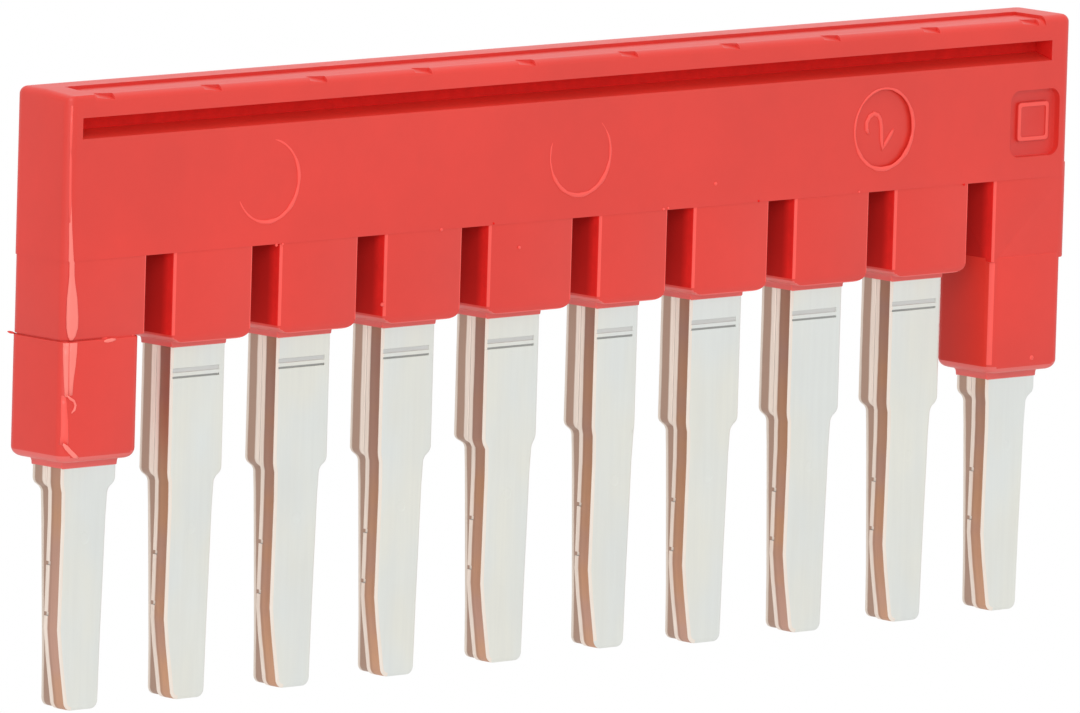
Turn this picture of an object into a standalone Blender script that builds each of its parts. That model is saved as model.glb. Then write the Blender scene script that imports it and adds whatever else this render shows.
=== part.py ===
"""Ten-pole plug-in jumper bar for a row of terminal blocks.

Three pieces: one moulded housing and two stamped combs of sheet metal that lie
back to back inside it. Ten pairs of blades come out of the housing, one pair per
terminal. Each comb has a straight edge on one side of its blades and a stepped
edge on the other, and the rear comb is turned so that its steps face the other way.

Frame: metres, +Z up, blades down, as the bar is plugged in. X runs along the bar,
-Y is the front with the long groove. The origin is the middle of the plane where
the eight inner blocks sit on the terminals.
"""
import math

import bmesh
import bpy

MM = 0.001

# Row of poles
POLES = 10
PITCH = 5.2 * MM
# The fifth and sixth stations stand off the even pitch. Blade shift: of the narrow
# part, sideways. Wide shift: of the wide part's left edge. Wall shift: of the block's
# left wall. Lift: how much shorter the blade is.
FIFTH_BLADE_SHIFT = 0.17 * MM
FIFTH_LIFT = 0.08 * MM
SIXTH_BLADE_SHIFT = 0.31 * MM
SIXTH_WIDE_SHIFT = 0.37 * MM
SIXTH_WALL_SHIFT = 0.38 * MM
SIXTH_LIFT = 0.18 * MM

# Housing
DEPTH = 3.0 * MM
BLOCK_WIDTH = 3.96 * MM
END_MARGIN = 1.95 * MM
TOP_Z = 9.75 * MM
SLOT_TOP_Z = 3.62 * MM
BLOCK_BOTTOM_Z = 0.25 * MM
COLLAR_DROP = 0.25 * MM
COLLAR_WALL = 0.10 * MM
COLLAR_CORNER = 0.10 * MM
COLLAR_HOLLOW = 0.15 * MM
FOOT_ROUND = 0.30 * MM
BLOCK_EDGE = 0.10 * MM
END_ROUND = 0.40 * MM
TOP_ROUND = 0.30 * MM

# Sleeves under the two end blocks
LEDGE_Z = 0.70 * MM
LEDGE_LIP = 0.03 * MM
SLEEVE_INSET_RIGHT = 0.21 * MM
SLEEVE_BOTTOM_Z = -3.75 * MM
SLEEVE_COLLAR_DROP = 0.30 * MM
SLEEVE_ROUND = 0.36 * MM

# Relief cut in the top, open to the front, with a notch over each blade
RELIEF_DEPTH = 0.12 * MM
EDGE_TURN_DEG = 165.0
RELIEF_BACK_Y = 0.20 * MM
RELIEF_LEFT_X = -24.10 * MM
RELIEF_RIGHT_X = 23.95 * MM
NOTCH_WIDTH = 0.50 * MM
NOTCH_DEPTH = 0.24 * MM
NOTCH_LENGTH = 0.80 * MM

# Marking groove along the front
GROOVE_LEFT_X = -24.66 * MM
GROOVE_RIGHT_X = 24.38 * MM
GROOVE_LOW_Z = 8.07 * MM
GROOVE_HIGH_Z = 8.84 * MM
GROOVE_DEPTH = 0.90 * MM

# Rounded square recess at the right end of the front
BADGE_CENTRE_X = 23.62 * MM
BADGE_CENTRE_Z = 5.74 * MM
BADGE_SIZE = 2.60 * MM
BADGE_CORNER = 0.50 * MM
BADGE_DEPTH = 0.26 * MM

# Shallow disc inside the right ring mark
DISC_CENTRE_X = 15.6 * MM
DISC_CENTRE_Z = 5.98 * MM
DISC_RADIUS = 1.52 * MM
DISC_DEPTH = 0.12 * MM
DISC_STEPS = 32

# Combs
SHEET = 0.77 * MM
SEAM = 0.06 * MM
FIT = 0.04 * MM
WIDE_HALF = 1.33 * MM
SPINE_LOW_Z = 4.00 * MM
SPINE_HIGH_Z = 7.30 * MM
TIP_Z = -12.95 * MM
SHOULDER_Z = -4.75 * MM
SHOULDER_ROUND = 0.16 * MM
STEP_AT_SHOULDER = 0.91 * MM
STEP_AT_TIP = 0.70 * MM
STRAIGHT_AT_SHOULDER = 1.24 * MM
STRAIGHT_AT_LEAD = 1.30 * MM
STRAIGHT_AT_TIP = 0.88 * MM
LEAD_IN = 3.0 * MM
TIP_ROUND = 0.34 * MM
SHEET_EDGE = 0.04 * MM

ARC_STEPS = 3


def clear_scene():
    for obj in list(bpy.data.objects):
        bpy.data.objects.remove(obj, do_unlink=True)


def station_x(index):
    """Centre of a pole, index counted from 0 at the left."""
    return (index - (POLES - 1) / 2.0) * PITCH


def odd(index, key):
    """How far a station stands off the even pitch, 0 for all but two of them."""
    fifth = {"blade": FIFTH_BLADE_SHIFT, "lift": FIFTH_LIFT}
    sixth = {"blade": SIXTH_BLADE_SHIFT, "lift": SIXTH_LIFT,
             "wide_left": SIXTH_WIDE_SHIFT, "wall_left": SIXTH_WALL_SHIFT}
    return {4: fifth, 5: sixth}.get(index, {}).get(key, 0.0)


def half_length():
    return station_x(POLES - 1) + END_MARGIN


def block_span(index):
    """Left and right wall of a block; the end blocks reach the ends of the bar."""
    centre = station_x(index)
    left = centre - BLOCK_WIDTH / 2.0 + odd(index, "wall_left")
    right = centre + BLOCK_WIDTH / 2.0
    if index + 1 < POLES:
        right += odd(index + 1, "wall_left")
    if index == 0:
        left = -half_length()
    if index == POLES - 1:
        right = half_length()
    return left, right


def wide_span(index):
    """Left and right edge of the wide part of a blade."""
    centre = station_x(index)
    return centre - WIDE_HALF + odd(index, "wide_left"), centre + WIDE_HALF


def stack_half():
    """Half the thickness of the two combs together."""
    return SHEET + SEAM / 2.0


def new_material(name, colour, roughness, metallic):
    mat = bpy.data.materials.new(name)
    mat.use_nodes = True
    shader = mat.node_tree.nodes["Principled BSDF"]
    shader.inputs["Base Color"].default_value = colour
    shader.inputs["Roughness"].default_value = roughness
    shader.inputs["Metallic"].default_value = metallic
    return mat


def add_object(name, bm, material=None):
    bmesh.ops.recalc_face_normals(bm, faces=bm.faces)
    mesh = bpy.data.meshes.new(name)
    bm.to_mesh(mesh)
    bm.free()
    obj = bpy.data.objects.new(name, mesh)
    bpy.context.scene.collection.objects.link(obj)
    if material is not None:
        mesh.materials.append(material)
    return obj


def arc(centre_a, centre_b, radius, start_deg, end_deg, steps=ARC_STEPS):
    """Points of an arc in a plane, both ends included."""
    points = []
    for i in range(steps + 1):
        angle = math.radians(start_deg + (end_deg - start_deg) * i / steps)
        points.append((centre_a + radius * math.cos(angle), centre_b + radius * math.sin(angle)))
    return points


def rounded_corner(before, corner, after, radius, steps=ARC_STEPS):
    """Points that replace a corner by an arc that is tangent to both its sides."""
    ux, uz = before[0] - corner[0], before[1] - corner[1]
    vx, vz = after[0] - corner[0], after[1] - corner[1]
    lu, lv = math.hypot(ux, uz), math.hypot(vx, vz)
    ux, uz, vx, vz = ux / lu, uz / lu, vx / lv, vz / lv
    half = math.acos(max(-1.0, min(1.0, ux * vx + uz * vz))) / 2.0
    reach = min(radius / math.tan(half), 0.45 * lu, 0.45 * lv)
    radius = reach * math.tan(half)
    bx, bz = ux + vx, uz + vz
    lb = math.hypot(bx, bz)
    centre = (corner[0] + bx / lb * radius / math.sin(half),
              corner[1] + bz / lb * radius / math.sin(half))
    p0 = (corner[0] + ux * reach, corner[1] + uz * reach)
    p1 = (corner[0] + vx * reach, corner[1] + vz * reach)
    a0 = math.atan2(p0[1] - centre[1], p0[0] - centre[0])
    a1 = math.atan2(p1[1] - centre[1], p1[0] - centre[0])
    turn = (a1 - a0 + math.pi) % (2.0 * math.pi) - math.pi
    return [(centre[0] + radius * math.cos(a0 + turn * i / steps),
             centre[1] + radius * math.sin(a0 + turn * i / steps)) for i in range(steps + 1)]


def prism_xz(points, y_front, y_back):
    """A closed solid: an outline in X and Z, extruded from front to back."""
    bm = bmesh.new()
    face = bm.faces.new([bm.verts.new((x, y_front, z)) for x, z in points])
    out = bmesh.ops.extrude_face_region(bm, geom=[face])
    moved = [g for g in out["geom"] if isinstance(g, bmesh.types.BMVert)]
    bmesh.ops.translate(bm, vec=(0.0, y_back - y_front, 0.0), verts=moved)
    return bm


def prism_yz(points, x_left, x_right):
    """A closed solid: an outline in Y and Z, extruded along the bar."""
    bm = bmesh.new()
    face = bm.faces.new([bm.verts.new((x_left, y, z)) for y, z in points])
    out = bmesh.ops.extrude_face_region(bm, geom=[face])
    moved = [g for g in out["geom"] if isinstance(g, bmesh.types.BMVert)]
    bmesh.ops.translate(bm, vec=(x_right - x_left, 0.0, 0.0), verts=moved)
    return bm


def box(x0, x1, y0, y1, z0, z1):
    return prism_xz([(x0, z0), (x1, z0), (x1, z1), (x0, z1)], y0, y1)


def bevel_where(bm, test, width, segments):
    """Rounds or chamfers the edges whose two ends pass a test."""
    edges = [e for e in bm.edges if len(e.link_faces) == 2 and test(e.verts[0].co, e.verts[1].co)]
    bmesh.ops.bevel(bm, geom=edges, offset=width, offset_type="OFFSET", segments=segments,
                    profile=0.5, affect="EDGES", clamp_overlap=True)


def near(a, b):
    return abs(a - b) < 1e-6


def vertical(a, b):
    return near(a.x, b.x) and near(a.y, b.y) and not near(a.z, b.z)


def level_at(z):
    return lambda a, b: near(a.z, z) and near(b.z, z)


def body_outline():
    """Front outline of the bar with its ten blocks, without sleeves and collars."""
    points = [(-half_length(), TOP_Z), (half_length(), TOP_Z)]
    for index in reversed(range(POLES)):
        left, right = block_span(index)
        if index in (0, POLES - 1):
            points += [(right, LEDGE_Z), (left, LEDGE_Z)]
        else:
            high = (right, SLOT_TOP_Z), (left, SLOT_TOP_Z)
            low = (right, BLOCK_BOTTOM_Z), (left, BLOCK_BOTTOM_Z)
            points += rounded_corner(high[0], low[0], low[1], FOOT_ROUND)
            points += rounded_corner(low[0], low[1], high[1], FOOT_ROUND)
        if index > 0:
            previous_right = block_span(index - 1)[1]
            points += [(left, SLOT_TOP_Z), (previous_right, SLOT_TOP_Z)]
    return points


def block_rim(a, b):
    """True for the front and back edges round the blocks, between the slots' tops and the ledges."""
    return (near(a.y, b.y) and near(abs(a.y), DEPTH / 2.0) and max(a.z, b.z) < SLOT_TOP_Z + 1e-6
            and max(abs(a.x), abs(b.x)) < half_length() - END_ROUND
            and not level_at(SLOT_TOP_Z)(a, b) and not level_at(LEDGE_Z)(a, b))


def housing_body():
    bm = prism_xz(body_outline(), -DEPTH / 2.0, DEPTH / 2.0)
    end = half_length()
    bevel_where(bm, lambda a, b: vertical(a, b) and near(abs(a.x), end), END_ROUND, 3)
    bevel_where(bm, block_rim, BLOCK_EDGE, 1)
    bevel_where(bm, lambda a, b: level_at(TOP_Z)(a, b) and not (near(a.x, b.x) and
                abs(a.x) < end - END_ROUND), TOP_ROUND, 3)
    return bm


def sleeve(index):
    """The part of an end block that reaches down round its blades."""
    left, right = block_span(index)
    left -= LEDGE_LIP
    right -= SLEEVE_INSET_RIGHT
    y0, y1 = -DEPTH / 2.0 - LEDGE_LIP, DEPTH / 2.0 - LEDGE_LIP / 2.0
    top = LEDGE_Z + LEDGE_LIP / 2.0
    bm = box(left, right, y0, y1, SLEEVE_BOTTOM_Z, top)
    bevel_where(bm, vertical, END_ROUND, 3)
    bevel_where(bm, level_at(SLEEVE_BOTTOM_Z), SLEEVE_ROUND, 3)
    cap = [f for f in bm.faces if all(near(v.co.z, top) for v in f.verts)]
    bmesh.ops.inset_region(bm, faces=cap, thickness=SLEEVE_INSET_RIGHT, use_even_offset=True)
    out = bmesh.ops.extrude_face_region(bm, geom=cap)
    moved = [g for g in out["geom"] if isinstance(g, bmesh.types.BMVert)]
    bmesh.ops.translate(bm, vec=(0.0, 0.0, SLEEVE_INSET_RIGHT), verts=moved)
    bmesh.ops.delete(bm, geom=cap, context="FACES_ONLY")
    return bm


def collar(index):
    """Low rim under a block round its blades. Hollow rounds lead it out of the block's underside."""
    left, right = wide_span(index)
    left, right = left - FIT - COLLAR_WALL, right + FIT + COLLAR_WALL
    seat, drop = BLOCK_BOTTOM_Z, COLLAR_DROP
    if index in (0, POLES - 1):
        seat, drop = SLEEVE_BOTTOM_Z, SLEEVE_COLLAR_DROP
    corner = COLLAR_CORNER / 2.0
    points = [(left - COLLAR_HOLLOW, seat + drop)]
    points += arc(left - COLLAR_HOLLOW, seat - COLLAR_HOLLOW, COLLAR_HOLLOW, 90.0, 0.0)
    points += [(left, seat - drop + corner), (left + corner, seat - drop)]
    points += [(right - corner, seat - drop), (right, seat - drop + corner)]
    points += arc(right + COLLAR_HOLLOW, seat - COLLAR_HOLLOW, COLLAR_HOLLOW, 180.0, 90.0)
    points += [(right + COLLAR_HOLLOW, seat + drop)]
    half = stack_half() + FIT + COLLAR_WALL
    return prism_xz(points, -half, half)


def pocket():
    """Room for both combs: their common outline, grown by the fit."""
    low = SLEEVE_BOTTOM_Z - 2.0 * SLEEVE_COLLAR_DROP
    points = [(wide_span(0)[0] - FIT, SPINE_HIGH_Z + FIT), (wide_span(POLES - 1)[1] + FIT, SPINE_HIGH_Z + FIT)]
    for index in reversed(range(POLES)):
        left, right = wide_span(index)
        points += [(right + FIT, low), (left - FIT, low)]
        if index > 0:
            points += [(left - FIT, SPINE_LOW_Z - FIT), (wide_span(index - 1)[1] + FIT, SPINE_LOW_Z - FIT)]
    half = stack_half() + FIT
    return prism_xz(points, -half, half)


def relief():
    """Cutter for the lowered front half of the top, with its own rounded front edge."""
    floor = TOP_Z - RELIEF_DEPTH
    front = -DEPTH / 2.0
    edge = arc(front + TOP_ROUND, floor - TOP_ROUND, TOP_ROUND, 90.0, EDGE_TURN_DEG)
    (y0, z0), (y1, z1) = edge[-2:]
    out = (y1 - front + TOP_ROUND) / (y0 - y1)
    edge.append((y1 - (y0 - y1) * out, z1 - (z0 - z1) * out))
    points = [(RELIEF_BACK_Y, floor)] + edge
    points += [(edge[-1][0], TOP_Z + TOP_ROUND), (RELIEF_BACK_Y, TOP_Z + TOP_ROUND)]
    return prism_yz(points, RELIEF_LEFT_X, RELIEF_RIGHT_X)


def notch(index):
    """V-shaped cutter above a blade: it deepens to the front and runs out over the edge."""
    x = station_x(index)
    front = -DEPTH / 2.0
    floor = TOP_Z - RELIEF_DEPTH
    height = 2.0 * NOTCH_DEPTH
    half = height * NOTCH_WIDTH / 2.0 / NOTCH_DEPTH
    inner = front + NOTCH_LENGTH
    bm = bmesh.new()
    section = [(x - half, floor + height), (x + half, floor + height), (x, floor)]
    face = bm.faces.new([bm.verts.new((px, inner, pz)) for px, pz in section])
    out = bmesh.ops.extrude_face_region(bm, geom=[face])
    moved = [g for g in out["geom"] if isinstance(g, bmesh.types.BMVert)]
    bmesh.ops.translate(bm, vec=(0.0, -1.5 * NOTCH_LENGTH, -1.5 * NOTCH_DEPTH), verts=moved)
    return bm


def badge():
    """Cutter for the rounded square recess at the right end."""
    half = BADGE_SIZE / 2.0
    x, z, r = BADGE_CENTRE_X, BADGE_CENTRE_Z, BADGE_CORNER
    points = []
    for sx, sz, start in ((1, 1, 0), (-1, 1, 90), (-1, -1, 180), (1, -1, 270)):
        points += arc(x + sx * (half - r), z + sz * (half - r), r, start, start + 90)
    front = -DEPTH / 2.0
    return prism_xz(points, front - BADGE_DEPTH, front + BADGE_DEPTH)


def disc():
    """Cutter for the shallow disc inside the right ring mark."""
    front = -DEPTH / 2.0
    rim = arc(DISC_CENTRE_X, DISC_CENTRE_Z, DISC_RADIUS, 0.0, 360.0, DISC_STEPS)[:-1]
    return prism_xz(rim, front - DISC_DEPTH, front + DISC_DEPTH)


def combine(target, tools, operation):
    """Adds or cuts each tool with the exact solver and removes the tool."""
    for index, bm in enumerate(tools):
        tool = add_object("tool", bm)
        tool.hide_render = True
        tool.display_type = "WIRE"
        modifier = target.modifiers.new("cut", "BOOLEAN")
        modifier.operation = operation
        modifier.solver = "EXACT"
        modifier.object = tool
        depsgraph = bpy.context.evaluated_depsgraph_get()
        result = bpy.data.meshes.new_from_object(target.evaluated_get(depsgraph))
        target.modifiers.remove(modifier)
        old = target.data
        result.name = target.name
        target.data = result
        bpy.data.meshes.remove(old)
        bpy.data.objects.remove(tool, do_unlink=True)


def finish_mesh(obj, angle_deg):
    bm = bmesh.new()
    bm.from_mesh(obj.data)
    bmesh.ops.remove_doubles(bm, verts=bm.verts, dist=1e-7)
    bmesh.ops.dissolve_limit(bm, angle_limit=math.radians(0.05), verts=bm.verts, edges=bm.edges)
    bm.to_mesh(obj.data)
    bm.free()
    obj.data.shade_smooth()
    obj.data.set_sharp_from_angle(angle=math.radians(angle_deg))


def make_housing():
    material = new_material("housing_plastic", (0.78, 0.075, 0.055, 1.0), 0.42, 0.0)
    obj = add_object("housing", housing_body(), material)
    combine(obj, [sleeve(0), sleeve(POLES - 1)], "UNION")
    combine(obj, [collar(i) for i in range(POLES)], "UNION")
    groove = box(GROOVE_LEFT_X, GROOVE_RIGHT_X, -DEPTH, -DEPTH / 2.0 + GROOVE_DEPTH,
                 GROOVE_LOW_Z, GROOVE_HIGH_Z)
    combine(obj, [groove, relief(), badge(), disc()], "DIFFERENCE")
    combine(obj, [notch(i) for i in range(POLES)], "DIFFERENCE")
    combine(obj, [pocket()], "DIFFERENCE")
    finish_mesh(obj, 35.0)
    return obj


def blade_outline(index, side):
    """Outline of one blade below the spine, from its +side edge down and round.

    side +1 has the stepped edge at +X (front comb), side -1 at -X (rear comb).
    """
    centre = station_x(index)
    shift = odd(index, "blade")
    lift = odd(index, "lift")
    tip = TIP_Z + lift
    shoulder = SHOULDER_Z + lift
    wide_left, wide_right = wide_span(index)
    stepped_wide = wide_right if side > 0 else wide_left
    straight_wide = wide_left if side > 0 else wide_right
    mid = centre + shift
    stepped = [(stepped_wide, SPINE_LOW_Z), (stepped_wide, shoulder),
               (mid + side * STEP_AT_SHOULDER, shoulder - 2.0 * SHOULDER_ROUND),
               (mid + side * STEP_AT_TIP, tip)]
    straight = [(mid - side * STRAIGHT_AT_TIP, tip),
                (mid - side * STRAIGHT_AT_LEAD, tip + LEAD_IN),
                (mid - side * STRAIGHT_AT_SHOULDER, shoulder - 2.0 * SHOULDER_ROUND),
                (straight_wide, shoulder), (straight_wide, SPINE_LOW_Z)]
    raw = stepped + straight
    rounds = {1: SHOULDER_ROUND, 2: SHOULDER_ROUND, 3: TIP_ROUND, 4: TIP_ROUND}
    points = []
    for i, point in enumerate(raw):
        if i in rounds:
            points += rounded_corner(raw[i - 1], point, raw[i + 1], rounds[i])
        else:
            points.append(point)
    return points


def comb_outline(side):
    """Outline of a comb, clockwise from its top left corner for either side."""
    points = [(wide_span(0)[0], SPINE_HIGH_Z), (wide_span(POLES - 1)[1], SPINE_HIGH_Z)]
    for index in reversed(range(POLES)):
        blade = blade_outline(index, side)
        points += blade if side > 0 else list(reversed(blade))
    return points


def make_comb(name, side, material):
    """A flat stamped comb with slightly eased outer edges."""
    near_y, far_y = SEAM / 2.0, SEAM / 2.0 + SHEET
    y_front, y_back = (-far_y, -near_y) if side > 0 else (near_y, far_y)
    bm = prism_xz(comb_outline(side), y_front, y_back)
    outer = y_front if side > 0 else y_back
    bevel_where(bm, lambda a, b: near(a.y, outer) and near(b.y, outer), SHEET_EDGE, 1)
    obj = add_object(name, bm, material)
    finish_mesh(obj, 35.0)
    return obj


def main():
    clear_scene()
    housing = make_housing()
    metal = new_material("comb_metal", (0.72, 0.70, 0.66, 1.0), 0.35, 1.0)
    front = make_comb("front_comb", 1, metal)
    rear = make_comb("rear_comb", -1, metal.copy())
    frame = bpy.data.objects.new("jumper_bar", None)
    bpy.context.scene.collection.objects.link(frame)
    for obj in (housing, front, rear):
        obj.parent = frame


if __name__ == "__main__":
    main()
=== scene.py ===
"""Looks of the plug-in jumper bar: the moulded red housing and the two stamped combs."""
import math

import bmesh
import bpy
from bpy.props import FloatProperty, FloatVectorProperty, PointerProperty
from mathutils import Matrix, Vector


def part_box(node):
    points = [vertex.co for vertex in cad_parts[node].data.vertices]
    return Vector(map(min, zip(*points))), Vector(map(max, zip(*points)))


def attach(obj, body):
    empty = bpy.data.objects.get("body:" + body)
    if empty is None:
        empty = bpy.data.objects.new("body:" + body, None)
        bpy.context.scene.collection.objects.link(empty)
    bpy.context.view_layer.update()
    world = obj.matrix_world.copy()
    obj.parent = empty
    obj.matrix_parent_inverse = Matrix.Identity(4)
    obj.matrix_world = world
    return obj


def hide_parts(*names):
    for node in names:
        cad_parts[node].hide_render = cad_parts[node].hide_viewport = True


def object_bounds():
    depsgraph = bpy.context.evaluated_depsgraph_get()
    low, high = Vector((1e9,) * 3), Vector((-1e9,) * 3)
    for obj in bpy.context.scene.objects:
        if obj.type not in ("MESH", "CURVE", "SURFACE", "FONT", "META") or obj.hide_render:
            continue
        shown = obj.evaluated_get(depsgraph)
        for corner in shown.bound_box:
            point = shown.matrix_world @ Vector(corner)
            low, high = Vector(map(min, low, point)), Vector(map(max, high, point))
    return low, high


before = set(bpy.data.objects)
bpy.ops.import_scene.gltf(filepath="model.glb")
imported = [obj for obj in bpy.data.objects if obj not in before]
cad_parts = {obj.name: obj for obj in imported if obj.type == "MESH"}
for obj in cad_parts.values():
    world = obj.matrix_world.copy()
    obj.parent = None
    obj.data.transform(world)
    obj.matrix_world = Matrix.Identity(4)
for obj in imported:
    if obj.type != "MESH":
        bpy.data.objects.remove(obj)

bl_info = {
    "name": "Plug-in Jumper Bar",
    "version": (1, 0, 0),
    "blender": (4, 5, 0),
    "location": "View3D > Sidebar > Jumper Bar",
    "description": "Builds a ten-pole jumper bar for terminal blocks, with its finishes and a plain stage",
    "category": "Object",
}

MM = 0.001
WHITE = (1.0, 1.0, 1.0, 1.0)
CAD_LOW, CAD_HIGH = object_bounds()
BAR_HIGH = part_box("housing")[1]
COMB_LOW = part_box("front_comb")[0]
BAR_END = BAR_HIGH[0] + 0.05 * MM
# Bevels and cuts are made this much enlarged, because details of a few hundredths of a
# millimetre come near the operators' own tolerances.
ENLARGED = 1024.0
# Places nearer than NEAR count as the same. Points nearer than MERGE become one in a finished
# piece, and nearer than TINY in one that is still being built.
NEAR, MERGE, TINY = 2e-6, 5e-7, 1e-8
# Faces that turn by less than FLAT are joined, and edges that turn by more than SHARP are sharp.
FLAT, SHARP = math.radians(0.05), math.radians(32.0)
BUMP_DEPTH = 0.02 * MM
# A little more room or reach than the named sizes give.
SLACK = 0.02 * MM
POLES = 10
END_POLES = (0, POLES - 1)
PITCH = 5.2 * MM
# How far from the middle of the bar the end blocks begin.
END_BLOCKS = (POLES - 1) / 2.0 * PITCH - 2.2 * MM
# Upright edges this near to the bar's ends are rounded as its ends are.
END_ZONE = 0.35 * MM
# The mould's lower half stood this far to the right of its upper one.
MISMATCH = 0.06 * MM
# The upper half is this much shorter at its left end.
BAR_DRAFT = 0.03 * MM
# The lowered part of the top ends here at the left and the right.
RELIEF_LEFT, RELIEF_RIGHT = -24.15 * MM, 23.95 * MM
GROOVE_LEFT, GROOVE_RIGHT, GROOVE_LOW, GROOVE_HIGH = -24.71 * MM, 24.33 * MM, 8.05 * MM, 8.82 * MM
# Section of a notch at its back, as X and Z in mm.
NOTCH = ((-0.55, 0.02), (0.24, -0.13), (0.42, 0.40), (-0.55, 0.40))
# How far a collar under a sleeve reaches below it.
SLEEVE_COLLAR = 0.30 * MM
# The hollow curve above a collar: way down and inset, in mm.
COLLAR_HOLLOW = ((0.03, 0.05), (0.06, 0.085), (0.11, 0.115), (0.17, 0.132), (0.25, 0.14))
# Middle of the square recess and of the pad in it as X and Z, and widths and heights.
BADGE, BADGE_SIZE = (23.53 * MM, 5.72 * MM), (2.58 * MM, 2.54 * MM)
PAD, PAD_SIZE = (BADGE[0] + 0.10 * MM, BADGE[1] + 0.04 * MM), (1.66 * MM, 1.50 * MM)
PAD_HOLLOW = (1.30 * MM, 1.16 * MM)
# Finishes of the housing in the order of its materials. The recessed red is painted shade in the slots and
# the groove, the dull red painted shade in the recess, the notches and on the relief's step, the paler red a
# painted highlight on the rounded edges along the slots and the pad's rim, and the feet and collars have a
# painted reflection.
HOUSING_FINISHES = ("moulded_red", "recessed_red", "dull_red", "faint_flash", "worn_red", "inner_wall_red")
MOULDED, RECESS_SHADE, HOLLOW_SHADE, EDGE_HIGHLIGHT, FOOT_SHEEN, INNER_WALL = range(6)
# Painted shade: how bright the right sleeve's inner wall is at the back.
INNER_WALL_SHADE_SHARE = 0.78
# Finishes of a comb in the order of its materials, and the greys of its score lines, which are painted shade.
TIN, COPPER, RIM_HIGHLIGHT, SCORE_SHADE_GREY, SCORE_SHADE_DARK = range(5)
GREY_SCORE_SHADE, DARK_SCORE_SHADE = 0.69, 0.40
# Outer face of either comb's sheet, and height of the spine that joins the blades.
SHEET_FACE = 0.80 * MM
SPINE_LOW, SPINE_HIGH = 4.0 * MM, 7.30 * MM
# Left and right edge of a blade's wide part, from the middle of its pole.
WIDE_LEFT, WIDE_RIGHT = -1.30 * MM, 1.35 * MM
# Height in mm above the tip where the wide part ends, and where the step under it ends.
SHOULDER, STEP = 8.30, 8.02
# Edges of a blade from its step to its tip: height above the tip, left edge and right
# edge from the middle of its pole, in mm.
FRONT_EDGES = ((STEP, -1.225, 0.99), (7.0, -1.21, 0.925), (5.0, -1.245, 0.875), (3.0, -1.277, 0.817),
               (2.0, -1.153, 0.794), (0.0, -0.83, 0.76))
REAR_EDGES = ((STEP, -0.89, 1.28), (7.0, -0.829, 1.27), (5.0, -0.746, 1.31), (3.0, -0.669, 1.36),
              (2.0, -0.628, 1.29), (0.0, -0.59, 1.00))
# Blades 5, 6 and 10 stand off the even pitch: shift of the narrow part's left and right
# edges on the front comb, of the rear comb's left edge, of the wide part's left and
# right edges, of the block wall on the left, and how much shorter the blade is, in mm.
ODD_EDGES = ("left", "right", "rear", "wide_left", "wide_right", "wall", "lift")
ODD_BLADES = {
    4: (0.12, 0.24, 0.15, 0.02, 0.08, 0.0, 0.09),
    5: (0.37, 0.23, 0.37, 0.37, -0.10, 0.38, 0.19),
    9: (-0.05, -0.14, -0.08, -0.02, -0.11, 0.0, 0.02),
}
# Score lines under the inner blocks: height of their lower and upper side in mm, and share of
# the depth. They end this far from the wide part's left and right edges.
SCORES = ((-0.93, -0.73, 0.6), (-1.14, -1.03, 1.0))
SCORE_INSETS = (0.10 * MM, 0.27 * MM)
DIMPLE_RADIUS, DIMPLE_Z = 0.22 * MM, -6.66 * MM
# Heights of the nicks across the blades' seam in mm, and half the height of one.
TICKS, TICK_HALF = (-7.56, -9.41), 0.075 * MM
RINGS = (-15.6 * MM, 0.0, 15.6 * MM)
# Where each ring is thickest, as X and Z, its share of the size there, and on the other side.
RING_SIDES = ((0.80, -0.60, 1.0, 0.10), (0.25, -0.97, 1.1, 0.12), (0.60, -0.80, 1.15, 0.60))
# Places of the lamps.
KEY_LAMP, TOP_LAMP = (-0.44, -0.46, 0.22), (0.05, -0.10, 0.62)


# Properties

def length(name, description, value_mm):
    return FloatProperty(name=name, description=description, default=value_mm * MM, unit="LENGTH",
                         precision=5)


def colour(name, description, value):
    return FloatVectorProperty(name=name, description=description, default=value, subtype="COLOR",
                               size=3, min=0.0, max=1.0)


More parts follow.
